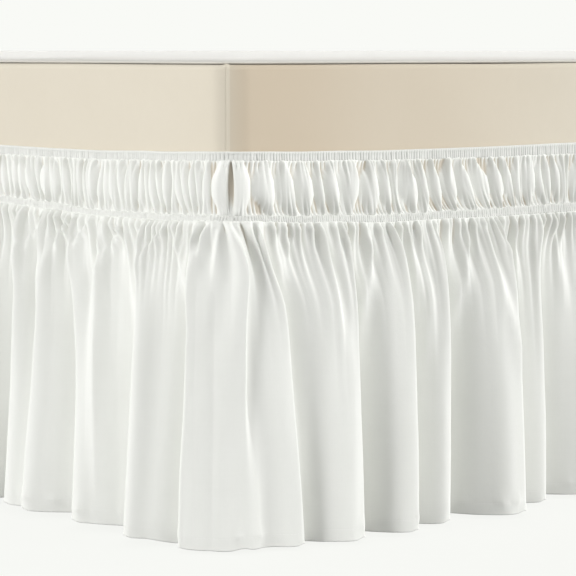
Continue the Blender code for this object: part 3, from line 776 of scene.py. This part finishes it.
    # hem: the cut length is the same everywhere, so it rises where the cloth stands out
    hem_s = s_all[:, -1]
    lift = 0.0034 + 0.12 * np.clip(out_all[:, -1] - 0.008, 0, None) ** 2 / (2 * 0.334)
    for crest in crests:
        lift = lift + 0.0022 * np.exp(-(((hem_s - crest) / 0.0060) ** 2))
    for _ in range(5):
        lift = lift + 0.00022 * np.sin(hem_s * rng.uniform(14, 90) + rng.uniform(0, 6.3))
    lift = np.clip(lift, 0.0006, 0.0090) - 0.0010 * np.exp(-((hem_s / 0.022) ** 2))
    lift += 0.0038 * smooth((-0.055 - hem_s) / 0.03) * smooth((hem_s + 0.75) / 0.2)
    z = line_foot[:, None] - deep + (lift - HEM_HEIGHT)[:, None] * smooth((u - 0.55) / 0.45)

    # the stitched row above the hem draws the cloth in, with small puckers
    above = (1 - u) * full[:, None]
    pucker = np.zeros(u.shape)
    s = start
    while s < end:
        w = rng.uniform(0.0045, 0.0110)
        amount = rng.uniform(-0.25, 1.0)
        if amount > 0:
            near = np.abs(hem_s - s) < 0.02
            slant = rng.uniform(-0.25, 0.25)
            pucker[near] += amount * peak((s_all[near] - s - slant * (above[near] - 0.013)) / w, 1.2)
        s += w * 1.5
    band = np.exp(-(((above - 0.0140) / 0.0050) ** 2))
    pinch = np.exp(-(((above - 0.0132) / 0.0012) ** 2))
    out_all += (0.0018 * pucker * band - 0.00004 * pinch) * smooth(deep / 0.05)

    # the seams where two lengths of cloth are joined pull in a little
    for seam in (start, end):
        out_all -= 0.0007 * np.exp(-(((s_all - seam) / 0.0016) ** 2)) * smooth(deep / 0.02)

    # the cloth runs up behind the elastic line
    x, y = on_girth(s_all, out_all)
    outer = np.stack([x, y, z], -1)
    tuck = []
    for rise, out in ((0.0022, 0.0028), (0.0009, 0.0036)):
        x, y = on_girth(s_first, out)
        tuck.append(np.stack([x, y, line_foot + rise], -1))
    # the hem is turned up inside
    normals = outward(outer)
    back = []
    v_back = ((0.0002, 0.0005), (0.0012, 0.0010), (0.0060, 0.0011), (0.0132, 0.0008))
    for rise, inset in v_back:
        rows_above = above[0]
        at = np.interp(rise, rows_above[::-1], np.arange(len(rows_above))[::-1])
        low = int(math.floor(at))
        high = min(low + 1, len(rows_above) - 1)
        t = at - low
        p = outer[:, low] * (1 - t) + outer[:, high] * t
        n = normals[:, low] * (1 - t) + normals[:, high] * t
        back.append(p - n * inset)
    points = np.concatenate([np.stack(tuck, 1), outer, np.stack(back, 1)], 1)
    points[..., 2] = np.maximum(points[..., 2], 0.0004)

    uv = flat_uv(points)
    stitch_row = len(tuck) + [i for i, (a, h) in enumerate(depths) if a == 1.0 and abs(h) <= 0.0135][0]
    uv[..., 1] -= uv[0, stitch_row, 1]
    # how much painted shade the drop's creases get: where the cloth lies close to the base near the top
    hollow = 0.6 * smooth((0.0042 - out_all) / 0.0018) * smooth((0.075 - deep) / 0.05)
    extra_rows = points.shape[1] - len(tuck) - hollow.shape[1]
    hollow = np.pad(hollow, ((0, 0), (len(tuck), extra_rows)))
    piece = grid_piece(name, points, uv, white, hollow=hollow)
    sizes = (np.linalg.norm(np.diff(points[:, len(depths)], axis=0), axis=1).sum(), -(uv[0, -1, 1] - uv[0, 0, 1]))
    print(name, "columns", len(index), "rows", points.shape[1], "triangles", 2 * (len(index) - 1) * (points.shape[1] - 1), "flat", [round(float(v), 3) for v in sizes])
    return piece


# --------------------------------------------------------------- the heading
def heading_creases():
    """Creases round the whole girth: (s at casing, halfway, at the line)."""
    rng = random.Random(23)
    rows = [list(r) for r in CREASES]
    s = CREASES[-1][1]
    stop = CREASES[0][1] + GIRTH
    while True:
        close = wrapped(s) < 0.75 and wrapped(s) > -0.6
        step = rng.uniform(0.008, 0.026) if rng.random() < 0.7 else rng.uniform(0.018, 0.034)
        s += step
        if s > stop - 0.012:
            break
        lean = rng.uniform(-0.004, 0.004)
        rows.append([s + lean, s, s - lean + rng.uniform(-0.003, 0.003)])
    # keep them in order at all three levels
    rows = np.array(rows)
    for k in (0, 2):
        for i in range(1, len(rows)):
            slit = abs(rows[i - 1, 1] + 0.0013) < 0.001
            rows[i, k] = max(rows[i, k], rows[i - 1, k] + (0.0006 if slit else 0.0035))
    return rows


ALL_CREASES = heading_creases()


def heading_piece(name, start, end, seed):
    fine = start < 0 < end
    rng = random.Random(seed)
    # creases between the two seams, the seams being creases too
    shifted = np.concatenate([ALL_CREASES - GIRTH, ALL_CREASES])
    keep = (shifted.min(1) > start + 0.005) & (shifted.max(1) < end - 0.005)
    creases = np.concatenate([[[start] * 3], shifted[keep], [[end] * 3]])

    index, share = [], []
    for i in range(len(creases) - 1):
        width = creases[i + 1, 1] - creases[i, 1]
        close = CLOSE[0] < creases[i, 1] < CLOSE[1]
        count = max(5, round(width * 1.25 / (0.00058 if close else 0.0014)))
        index += [i] * count
        share += [j / count for j in range(count)]
    index.append(len(creases) - 2)
    share.append(1.0)
    index, share = np.array(index), np.array(share)

    v = np.array((0.0, 0.02, 0.045, 0.075, 0.11, 0.155, 0.21, 0.28, 0.36, 0.45, 0.54, 0.63, 0.71, 0.78, 0.84, 0.885, 0.925, 0.955, 0.98, 1.0)
                 if fine else (0.0, 0.03, 0.07, 0.12, 0.20, 0.32, 0.46, 0.60, 0.73, 0.83, 0.90, 0.95, 0.98, 1.0))
    quad = np.stack([(1 - v) * (1 - 2 * v), 4 * v * (1 - v), v * (2 * v - 1)])  # Lagrange weights
    lines = creases @ quad                                  # (creases, rows)
    a, b = lines[index], lines[index + 1]
    t = share[:, None]
    s_all = a + (b - a) * t

    width = np.maximum(b - a, 0.003)
    count = len(creases) - 1
    full = np.array([rng.uniform(0.82, 1.12) for _ in range(count)])
    high = np.array([rng.uniform(0.36, 0.62) for _ in range(count)])
    skew = np.array([rng.uniform(0.85, 1.18) for _ in range(count)])
    skew *= np.where(wrapped(creases[:-1, 1]) > 0.0, 1.60, 0.62)
    skew = np.where(np.abs(creases[:-1, 1] + 0.0194) < 0.001, 1.25, skew)
    skew = np.where(np.abs(creases[:-1, 1] - 0.0040) < 0.001, 0.60, skew)
    tips = np.array([[rng.uniform(0.28, 0.72), rng.uniform(0.28, 0.72), rng.uniform(0.30, 0.60), rng.uniform(0.30, 0.60)] for _ in range(count)])
    gap = np.array([abs(creases[i, 1] + 0.0013) < 0.001 for i in range(count)])
    for i in np.flatnonzero(gap):
        tips[i - 1, 2:] = 0.62
        tips[i - 1, :2] = 1 - 0.62 / 2
        tips[i + 1, 2:] = 0.62
        tips[i + 1, :2] = 0.62 / 2
    deep_at = np.array([rng.uniform(0.0, 1.0) for _ in range(count + 1)])
    full *= np.where(creases[:-1, 1] < -0.03, 1.22, 1.0)
    rise = full[index][:, None] * (0.76 * width * np.exp(-width / 0.036))
    pinched = 0.26 + 0.74 * (4 * v * (1 - v)) ** 0.55
    # each puff is fullest at its own height
    k = np.log(0.5) / np.log(high[index])[:, None]
    vv = np.clip(v, 1e-4, 1 - 1e-4)[None, :] ** k
    env = 0.32 + 0.68 * (4 * vv * (1 - vv)) ** 0.80
    # both ends of a puff narrow to a tip
    reach = 0.022 / 0.054
    grown = smooth(np.minimum(v, 1 - v) / reach)[None, :]
    upper = (v < 0.5)[None, :]
    centre = np.where(upper, tips[index, 0][:, None], tips[index, 1][:, None])
    slim = np.where(upper, tips[index, 2][:, None], tips[index, 3][:, None])
    slim = slim + (1 - slim) * grown
    centre = 0.5 + (centre - 0.5) * (1 - grown)
    local = np.clip((t - centre) / slim + 0.5, 0, 1)
    tt = local ** skew[index][:, None]
    round_top = np.clip(4 * tt * (1 - tt), 0, 1) ** (0.62 + 0.38 * (1 - grown))
    rise = np.where(gap[index][:, None], 0.0, rise)
    out = 0.0013 + 0.0012 * deep_at[index][:, None] * (1 - t) + 0.0012 * deep_at[index + 1][:, None] * t
    out = out + 0.0016 * (1 - env) + rise * env * round_top

    # soft second creases within the broad puffs
    for i in range(count):
        w = creases[i + 1, 1] - creases[i, 1]
        if w < 0.015:
            continue
        here = index == i
        for _ in range(1 if w < 0.022 else 2 + (rng.random() < 0.5)):
            at = rng.uniform(0.2, 0.8)
            slant = rng.uniform(-0.30, 0.30)
            from_top = rng.random() < 0.5
            reach = rng.uniform(0.35, 0.75)
            along = v if from_top else 1 - v
            fade = np.clip(1 - along / reach, 0, 1) ** 0.8
            x = (t[here] - at - slant * along[None, :]) * w / rng.uniform(0.0030, 0.0048)
            out[here] += rng.choice((-1, -1, 1)) * rng.uniform(0.0012, 0.0028) * fade * peak(x, 1.4)

    # fine gathers beside both elastics
    height = levels(s_all[:, 10 if fine else 6])[1] - levels(s_all[:, 10 if fine else 6])[2]
    for edge in (0, 1):
        dist = (v if edge == 0 else 1 - v)[None, :] * height[:, None]
        column = s_all[:, 0 if edge == 0 else -1]
        out += pillows(start, end, rng, (0.0036, 0.0066), (0.0018, 0.0030), (0.006, 0.013), column, dist, 0.002)
    out = np.maximum(out, 0.0010)

    _, casing_foot, heading_foot, _ = levels(s_all)
    z = casing_foot + (heading_foot - casing_foot) * v[None, :]
    # both ends run in behind the elastics
    ends = np.clip(np.minimum(v, 1 - v) / 0.05, 0, 1)[None, :]
    out = 0.0040 + (out - 0.0040) * (0.70 + 0.30 * ends)
    x, y = on_girth(s_all, out)
    middle = np.stack([x, y, z], -1)
    x, y = on_girth(s_all[:, 0], 0.0022)
    top = np.stack([x, y, casing_foot[:, 0] + 0.0016], -1)
    x, y = on_girth(s_all[:, -1], 0.0026)
    foot = np.stack([x, y, heading_foot[:, -1] - 0.0016], -1)
    points = np.concatenate([top[:, None], middle, foot[:, None]], 1)
    uv = flat_uv(points)
    # how much painted shade the heading's creases get: where the cloth lies close to the base
    hollow = smooth((0.0029 - out) / 0.0014)
    hollow = np.concatenate([hollow[:, :1], hollow, hollow[:, -1:]], 1)
    piece = grid_piece(name, points, uv, heading_white_painted_lighter, hollow=hollow)
    sizes = (np.linalg.norm(np.diff(points[:, points.shape[1] // 2], axis=0), axis=1).sum(), -(uv[0, -1, 1] - uv[0, 0, 1]))
    print(name, "columns", len(index), "triangles", 2 * (len(index) - 1) * (points.shape[1] - 1), "flat", [round(float(v_), 3) for v_ in sizes])
    return piece


# -------------------------------------------------------------- the elastics
def ribs(near_width, far_width, near_shares, far_shares, seed):
    """Columns over ribs round the girth: s, share across the rib, rib number."""
    rng = random.Random(seed)
    edges = [CLOSE[0]]
    while edges[-1] < CLOSE[0] + GIRTH:
        close = edges[-1] < CLOSE[1]
        edges.append(edges[-1] + rng.uniform(*(near_width if close else far_width)))
    edges = np.array(edges)
    edges = CLOSE[0] + (edges - CLOSE[0]) * GIRTH / (edges[-1] - CLOSE[0])
    s, share, number = [], [], []
    for i in range(len(edges) - 1):
        for t in near_shares if edges[i] < CLOSE[1] else far_shares:
            s.append(edges[i] + (edges[i + 1] - edges[i]) * t)
            share.append(t)
            number.append(i)
    return np.array(s), np.array(share), np.array(number), len(edges) - 1


def casing_piece():
    s, share, number, count = ribs((0.0029, 0.0045), (0.0042, 0.0056), (0.0, 0.10, 0.30, 0.5, 0.7, 0.9), (0.0, 0.28, 0.72), 5)
    rng = random.Random(6)
    tall = np.array([rng.uniform(0.55, 1.15) for _ in range(count)])
    lean = np.array([rng.uniform(-0.0006, 0.0006) for _ in range(count + 1)])
    rib = np.clip(4 * share * (1 - share), 0, 1) ** 0.6 * tall[number] - 0.25
    lean = lean[number] * (1 - share) + lean[number + 1] * share
    top, foot, _, _ = levels(s)
    #         share down, out, extra z, rib height
    rows = (
        (0.55, 0.0007, 0.0, 0.0),
        (0.06, 0.0008, 0.0, 0.0),
        (0.0, 0.0012, 0.0007, 0.05),
        (0.0, 0.0022, 0.0011, 0.15),
        (0.0, 0.0033, 0.0007, 0.25),
        (0.04, 0.0037, 0.0, 0.30),
        (0.13, 0.0035, 0.0, 0.45),
        (0.20, 0.0029, 0.0, 0.85),
        (0.50, 0.0030, 0.0, 1.0),
        (0.80, 0.0030, 0.0, 1.0),
        (0.95, 0.0031, 0.0, 0.8),
        (1.02, 0.0026, 0.0, 0.3),
        (1.00, 0.0012, 0.0, 0.0),
    )
    grid = []
    for down, out, extra, much in rows:
        x, y = on_girth(s + lean * smooth(down), out + 0.00150 * much * rib)
        grid.append(np.stack([x, y, top + (foot - top) * down + extra], -1))
    points = np.stack(grid, 1)
    uv = flat_uv(points, True)
    print("casing", len(s), 2 * len(s) * (len(rows) - 1), uv[-1, 0, 0], -uv[0, -1, 1])
    return grid_piece("casing_shirred", points, uv, elastic, wrap=True)


def line_piece():
    s, share, number, count = ribs((0.0021, 0.0036), (0.0034, 0.0050), (0.0, 0.2, 0.5, 0.8), (0.0, 0.3, 0.7), 8)
    rng = random.Random(9)
    table = np.array([[rng.uniform(0.35, 1.1) for _ in range(3)] for _ in range(count)])
    zig = np.array([rng.uniform(-0.0005, 0.0005) for _ in range(count + 1)])
    zig2 = np.array([rng.uniform(-0.0006, 0.0006) for _ in range(count + 1)])
    bump = np.clip(4 * share * (1 - share), 0, 1) ** 0.6
    zig = zig[number] * (1 - share) + zig[number + 1] * share
    zig2 = zig2[number] * (1 - share) + zig2[number + 1] * share
    _, _, top, foot = levels(s)
    #         share down, out, upper, middle, lower ribs
    rows = (
        (0.10, 0.0012, 0.0, 0.0, 0.0),
        (-0.01, 0.0020, 0.3, 0.0, 0.0),
        (0.05, 0.0030, 0.8, 0.0, 0.0),
        (0.20, 0.0037, 1.0, 0.2, 0.0),
        (0.34, 0.0036, 0.6, 0.5, 0.0),
        (0.50, 0.0040, 0.1, 1.0, 0.1),
        (0.66, 0.0036, 0.0, 0.5, 0.6),
        (0.80, 0.0040, 0.0, 0.2, 1.0),
        (0.95, 0.0038, 0.0, 0.0, 1.0),
        (1.02, 0.0026, 0.0, 0.0, 0.5),
        (0.90, 0.0012, 0.0, 0.0, 0.0),
    )
    grid = []
    for down, out, up, mid, low in rows:
        much = up * table[number, 0] + mid * table[number, 1] + low * table[number, 2]
        side = zig * (up - low) + zig2 * mid
        x, y = on_girth(s + side, out + 0.0014 * much * bump - 0.0003)
        grid.append(np.stack([x, y, top + (foot - top) * down], -1))
    points = np.stack(grid, 1)
    uv = flat_uv(points, True)
    print("line", len(s), 2 * len(s) * (len(rows) - 1), uv[-1, 0, 0], -uv[0, -1, 1])
    return grid_piece("line_shirred", points, uv, elastic, wrap=True)


# -------------------------------------------------------------- the bed base
def base_columns():
    """Girth distances: closer round the corners."""
    s = [0.0]
    places = []
    for corner in CORNERS:
        places += [corner + x for x in np.concatenate([np.linspace(-0.045, -0.012, 18), np.linspace(-0.0115, 0.0115, 47), np.linspace(0.012, 0.045, 18)])]
    for a, b in zip(CORNERS, list(CORNERS[1:]) + [CORNERS[0] + GIRTH]):
        places += list(np.linspace(a + 0.05, b - 0.05, round((b - a - 0.1) / 0.012)))
    return np.array(sorted(p % GIRTH for p in places))


def base_piece():
    s = base_columns()
    seam = np.zeros(len(s))
    for corner in CORNERS:
        d = wrapped(s - corner - SEAM_SHIFT)
        seam += -0.00055 * np.exp(-((d / 0.0007) ** 2)) + 0.00010 * np.exp(-(((np.abs(d) - 0.0020) / 0.0012) ** 2))
    nub = np.zeros(len(s))
    for corner in CORNERS:
        nub += 0.0012 * np.exp(-((wrapped(s - corner - SEAM_SHIFT) / 0.0030) ** 2))
    rng = random.Random(31)
    heights = [0.0, 0.0010, 0.0035, 0.012] + list(np.linspace(0.05, 0.36, 6)) + [0.400, 0.420, 0.440, 0.460, 0.475, 0.486, 0.4925]
    edge = 0.0050
    rows = [(z, 0.0) for z in heights]
    for a in (15, 32, 50, 68, 84):
        rows.append((BASE_TOP - edge + edge * math.sin(math.radians(a)), -(edge - edge * math.cos(math.radians(a)))))
    rows = rows[::-1]
    wave = [(rng.uniform(3, 26), rng.uniform(0, 14), rng.uniform(0, 6.3), rng.uniform(0.05, 0.22)) for _ in range(14)]
    grid = []
    for z, out in rows:
        slow = sum(k * np.sin(s * 2 * math.pi * round(a * GIRTH / (2 * math.pi)) / GIRTH + b * z * 3 + c) for a, b, c, k in wave)
        foot = -0.010 * math.exp(-((z / 0.0040) ** 2))
        body = smooth(np.array(z / 0.02))
        x, y = on_girth(s, out + foot + (seam * body) + 0.0006 * slow * body - 0.0006)
        grid.append(np.stack([x, y, np.full(len(s), z) + (nub if z > BASE_TOP - 0.004 else 0) + 0.0003 * slow * (z > 0.49)], -1))
    points = np.stack(grid, 1)
    # close the top and the underside, inside the cover
    top_in = np.stack([points[:, 0, 0] * 0.985, points[:, 0, 1] * 0.985, np.full(len(s), BASE_TOP - 0.002)], -1)[:, None]
    top_mid = np.stack([points[:, 0, 0] * 0.02, points[:, 0, 1] * 0.02, np.full(len(s), BASE_TOP - 0.003)], -1)[:, None]
    foot_in = np.stack([points[:, -1, 0] * 0.985, points[:, -1, 1] * 0.985, np.full(len(s), 0.0)], -1)[:, None]
    foot_mid = np.stack([points[:, -1, 0] * 0.02, points[:, -1, 1] * 0.02, np.full(len(s), 0.0)], -1)[:, None]
    points = np.concatenate([top_mid, top_in, points, foot_in, foot_mid], 1)
    uv = np.zeros((len(s) + 1, points.shape[1], 2))
    uv[:-1, :, 0] = s[:, None]
    uv[-1, :, 0] = s[0] + GIRTH
    uv[..., 1] = np.concatenate([[BASE_TOP + 1.0, BASE_TOP + 0.02], [z for z, _ in rows], [-0.02, -1.0]])[None]
    piece = grid_piece("bed_base_cover", points, uv, beige, wrap=True)
    close_ends(piece, len(s), points.shape[1])
    return piece


def close_ends(piece, cols, rows):
    """Fills the small holes that a wrapped grid leaves at its first and last row."""
    import bmesh

    bm = bmesh.new()
    bm.from_mesh(piece.data)
    bm.verts.ensure_lookup_table()
    bm.faces.new([bm.verts[i * rows] for i in range(cols)])
    bm.faces.new([bm.verts[i * rows + rows - 1] for i in reversed(range(cols))])
    bm.normal_update()
    bm.to_mesh(piece.data)
    bm.free()


def top_piece():
    """Crowned top of the base, with a soft rim and a welt-like edge."""
    foot = BASE_TOP + 0.0004
    crown = CROWN_FLAT - foot
    s = base_columns()
    rng = random.Random(37)
    pairs = ((0.0, 0.0050, 0.0013), (0.006, 0.0056, 0.0024), (0.015, 0.010, 0.0042), (0.035, 0.035, 0.0070), (0.06, 0.060, 0.0085),
             (0.09, 0.090, 0.0101), (0.13, 0.130, 0.0116), (0.17, 0.170, 0.0128), (0.21, 0.210, 0.0136), (0.26, 0.260, crown - 0.00001))
    profile = [(0.0150, foot), (0.0085, foot + 0.0002)] + [(i, foot + h) for _, i, h in pairs[0:]]
    wave = [(rng.uniform(-9, 9), rng.uniform(-9, 9), rng.uniform(0, 6.3), rng.uniform(0.2, 0.6)) for _ in range(8)]
    rings = []
    for inset, z in profile:
        # shrink the outline: move the points in along the base's own normals
        x1, y1 = on_girth(s, -min(inset, BASE_CORNER - 0.016))
        more = max(0.0, inset - (BASE_CORNER - 0.016))
        x1 = x1 * (1 - more / (BASE_WIDTH / 2 - (BASE_CORNER - 0.016)))
        y1 = y1 * (1 - more / (BASE_LENGTH / 2 - (BASE_CORNER - 0.016)))
        rings.append(np.stack([x1, y1, np.full(len(s), z)], -1))
    for f in (0.75, 0.45, 0.18, 0.02):
        last = rings[len(profile) - 1]
        rings.append(np.stack([last[:, 0] * f, last[:, 1] * f, np.full(len(s), CROWN_FLAT - 0.0001)], -1))
    points = np.stack(rings[::-1], 1)
    inside = smooth((points[..., 2] - foot - 0.002) / 0.006)
    dip = sum(k * np.sin(points[..., 0] * a + points[..., 1] * b + c) for a, b, c, k in wave)
    points[..., 2] -= np.abs(dip) * 0.0006 * inside
    # underside
    under = np.stack([points[:, -1, 0] * 0.02, points[:, -1, 1] * 0.02, np.full(len(s), foot)], -1)[:, None]
    points = np.concatenate([points, under], 1)
    uv = np.zeros((len(s) + 1, points.shape[1], 2))
    uv[:-1, :, 0], uv[:-1, :, 1] = points[..., 0], points[..., 1]
    uv[-1] = uv[0]
    piece = grid_piece("top_panel_cover", points, uv, top_cloth, wrap=True)
    close_ends(piece, len(s), points.shape[1])
    return piece


SEAM_SHIFT = -0.0040

COURSE_TABLES = smoothed_courses()
RIDGES = lesser_ridges(random.Random(53))

# ------------------------------------------------------------------- pieces
base = base_piece()
panel = top_piece()
casing = casing_piece()
line = line_piece()
drops, headings = [], []
for i, (where, a, b) in enumerate(zip(LENGTHS, SEAMS, SEAMS[1:])):
    drops.append(drop_piece("drop_cloth_" + where, a, b, 101 + i))
    headings.append(heading_piece("heading_cloth_" + where, a, b, 201 + i))

for piece, node, slot in [
    (base, "bed_base", "beige_upholstery"),
    (panel, "top_panel", "pale_top_cloth"),
    (casing, "elastic_casing", "white_elastic"),
    (line, "elastic_line", "white_elastic"),
] + [(p, "drop_" + w, "white_cloth") for p, w in zip(drops, LENGTHS)] + [
    (p, "heading_" + w, "white_cloth") for p, w in zip(headings, LENGTHS)
]:
    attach(piece, "root")
    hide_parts(node)

# -------------------------------------------------------------------- stage
scene = bpy.context.scene
BACKDROP = (0.947, 0.956, 0.922)


def stage_material(name, emission, diffuse):
    m = Nodes(name)
    m.shader.inputs["Base Color"].default_value = (*diffuse, 1.0)
    m.shader.inputs["Roughness"].default_value = 1.0
    m.shader.inputs["Specular IOR Level"].default_value = 0.0
    m.shader.inputs["Emission Color"].default_value = (*emission, 1.0)
    m.shader.inputs["Emission Strength"].default_value = 1.0
    return m.mat


FLOOR_DIFFUSE = 0.05
FLOOR_LIT = 1.17
floor_mesh = bpy.data.meshes.new("floor")
ring = [(90 * math.cos(a), 90 * math.sin(a), -0.0005) for a in np.linspace(0, 2 * math.pi, 97)[:-1]]
floor_mesh.from_pydata(ring, [], [tuple(range(len(ring)))])
floor_mesh.materials.append(
    stage_material("floor_plain", tuple(c - FLOOR_DIFFUSE * FLOOR_LIT * c / 0.947 for c in BACKDROP), tuple(FLOOR_DIFFUSE * c / 0.947 for c in BACKDROP))
)
floor = bpy.data.objects.new("floor", floor_mesh)
scene.collection.objects.link(floor)
floor.visible_diffuse = False

# a plain backdrop that only the camera sees
rows_, cols_ = 17, 64
dome = []
for i in range(rows_):
    e = math.radians(-2 + 92 * i / (rows_ - 1))
    for j in range(cols_):
        a = 2 * math.pi * j / cols_
        dome.append((88 * math.cos(e) * math.cos(a), 88 * math.cos(e) * math.sin(a), 88 * math.sin(e)))
faces = [
    (i * cols_ + j, i * cols_ + (j + 1) % cols_, (i + 1) * cols_ + (j + 1) % cols_, (i + 1) * cols_ + j)
    for i in range(rows_ - 1)
    for j in range(cols_)
]
dome_mesh = bpy.data.meshes.new("backdrop")
dome_mesh.from_pydata(dome, [], faces)
dome_mesh.materials.append(stage_material("backdrop_plain", BACKDROP, (0.0, 0.0, 0.0)))
backdrop = bpy.data.objects.new("backdrop", dome_mesh)
scene.collection.objects.link(backdrop)
backdrop.visible_diffuse = False
backdrop.visible_glossy = False
backdrop.visible_transmission = False
backdrop.visible_volume_scatter = False
backdrop.visible_shadow = False

world = bpy.data.worlds.new("studio")
world.use_nodes = True
world.node_tree.nodes["Background"].inputs[0].default_value = (1.0, 1.0, 0.985, 1.0)
world.node_tree.nodes["Background"].inputs[1].default_value = 0.30
scene.world = world


def sun(name, towards, strength, angle, colour=(1, 1, 1)):
    """A soft distant light that shines from the direction given."""
    data = bpy.data.lights.new(name, "SUN")
    data.energy = strength * math.pi
    data.angle = math.radians(angle)
    data.color = colour
    obj = bpy.data.objects.new(name, data)
    x, y, z = towards
    length = math.sqrt(x * x + y * y + z * z)
    obj.rotation_mode = "XYZ"
    obj.rotation_euler = (math.acos(z / length), 0.0, math.atan2(y, x) + math.pi / 2)
    scene.collection.objects.link(obj)
    return obj


sun("left", (-0.130, -0.990, 0.240), 0.74, 26)
sun("left_back", (-0.801, -0.598, 0.213), 0.34, 26)
sun("front", (1.0, -0.14, 0.40), 0.18, 45)
sun("right", (0.850, 0.520, 0.213), 0.64, 26)
sun("right_back", (0.420, 0.900, 0.213), 0.40, 26)

# ------------------------------------------------------------------- camera
AZIMUTH, PITCH_DOWN, FOCAL_PX = 48.77, 6.086, 2224.0
DISTANCE, ACROSS, EYE = 2.2347, -0.0594, 0.5124
az = math.radians(AZIMUTH)
forward = (-math.sin(az), math.cos(az))
right = (math.cos(az), math.sin(az))
camera_data = bpy.data.cameras.new("camera")
camera_data.sensor_width = 36.0
camera_data.sensor_fit = "HORIZONTAL"
camera_data.lens = FOCAL_PX / 576 * 36.0
camera_data.clip_start, camera_data.clip_end = 0.05, 400
camera = bpy.data.objects.new("camera", camera_data)
camera.location = (
    BASE_WIDTH / 2 - forward[0] * DISTANCE - right[0] * ACROSS,
    -BASE_LENGTH / 2 - forward[1] * DISTANCE - right[1] * ACROSS,
    EYE,
)
camera.rotation_euler = (math.radians(90 - PITCH_DOWN), 0.0, az)
scene.collection.objects.link(camera)
scene.camera = camera
scene.view_settings.view_transform = "Standard"
scene.view_settings.look = "None"
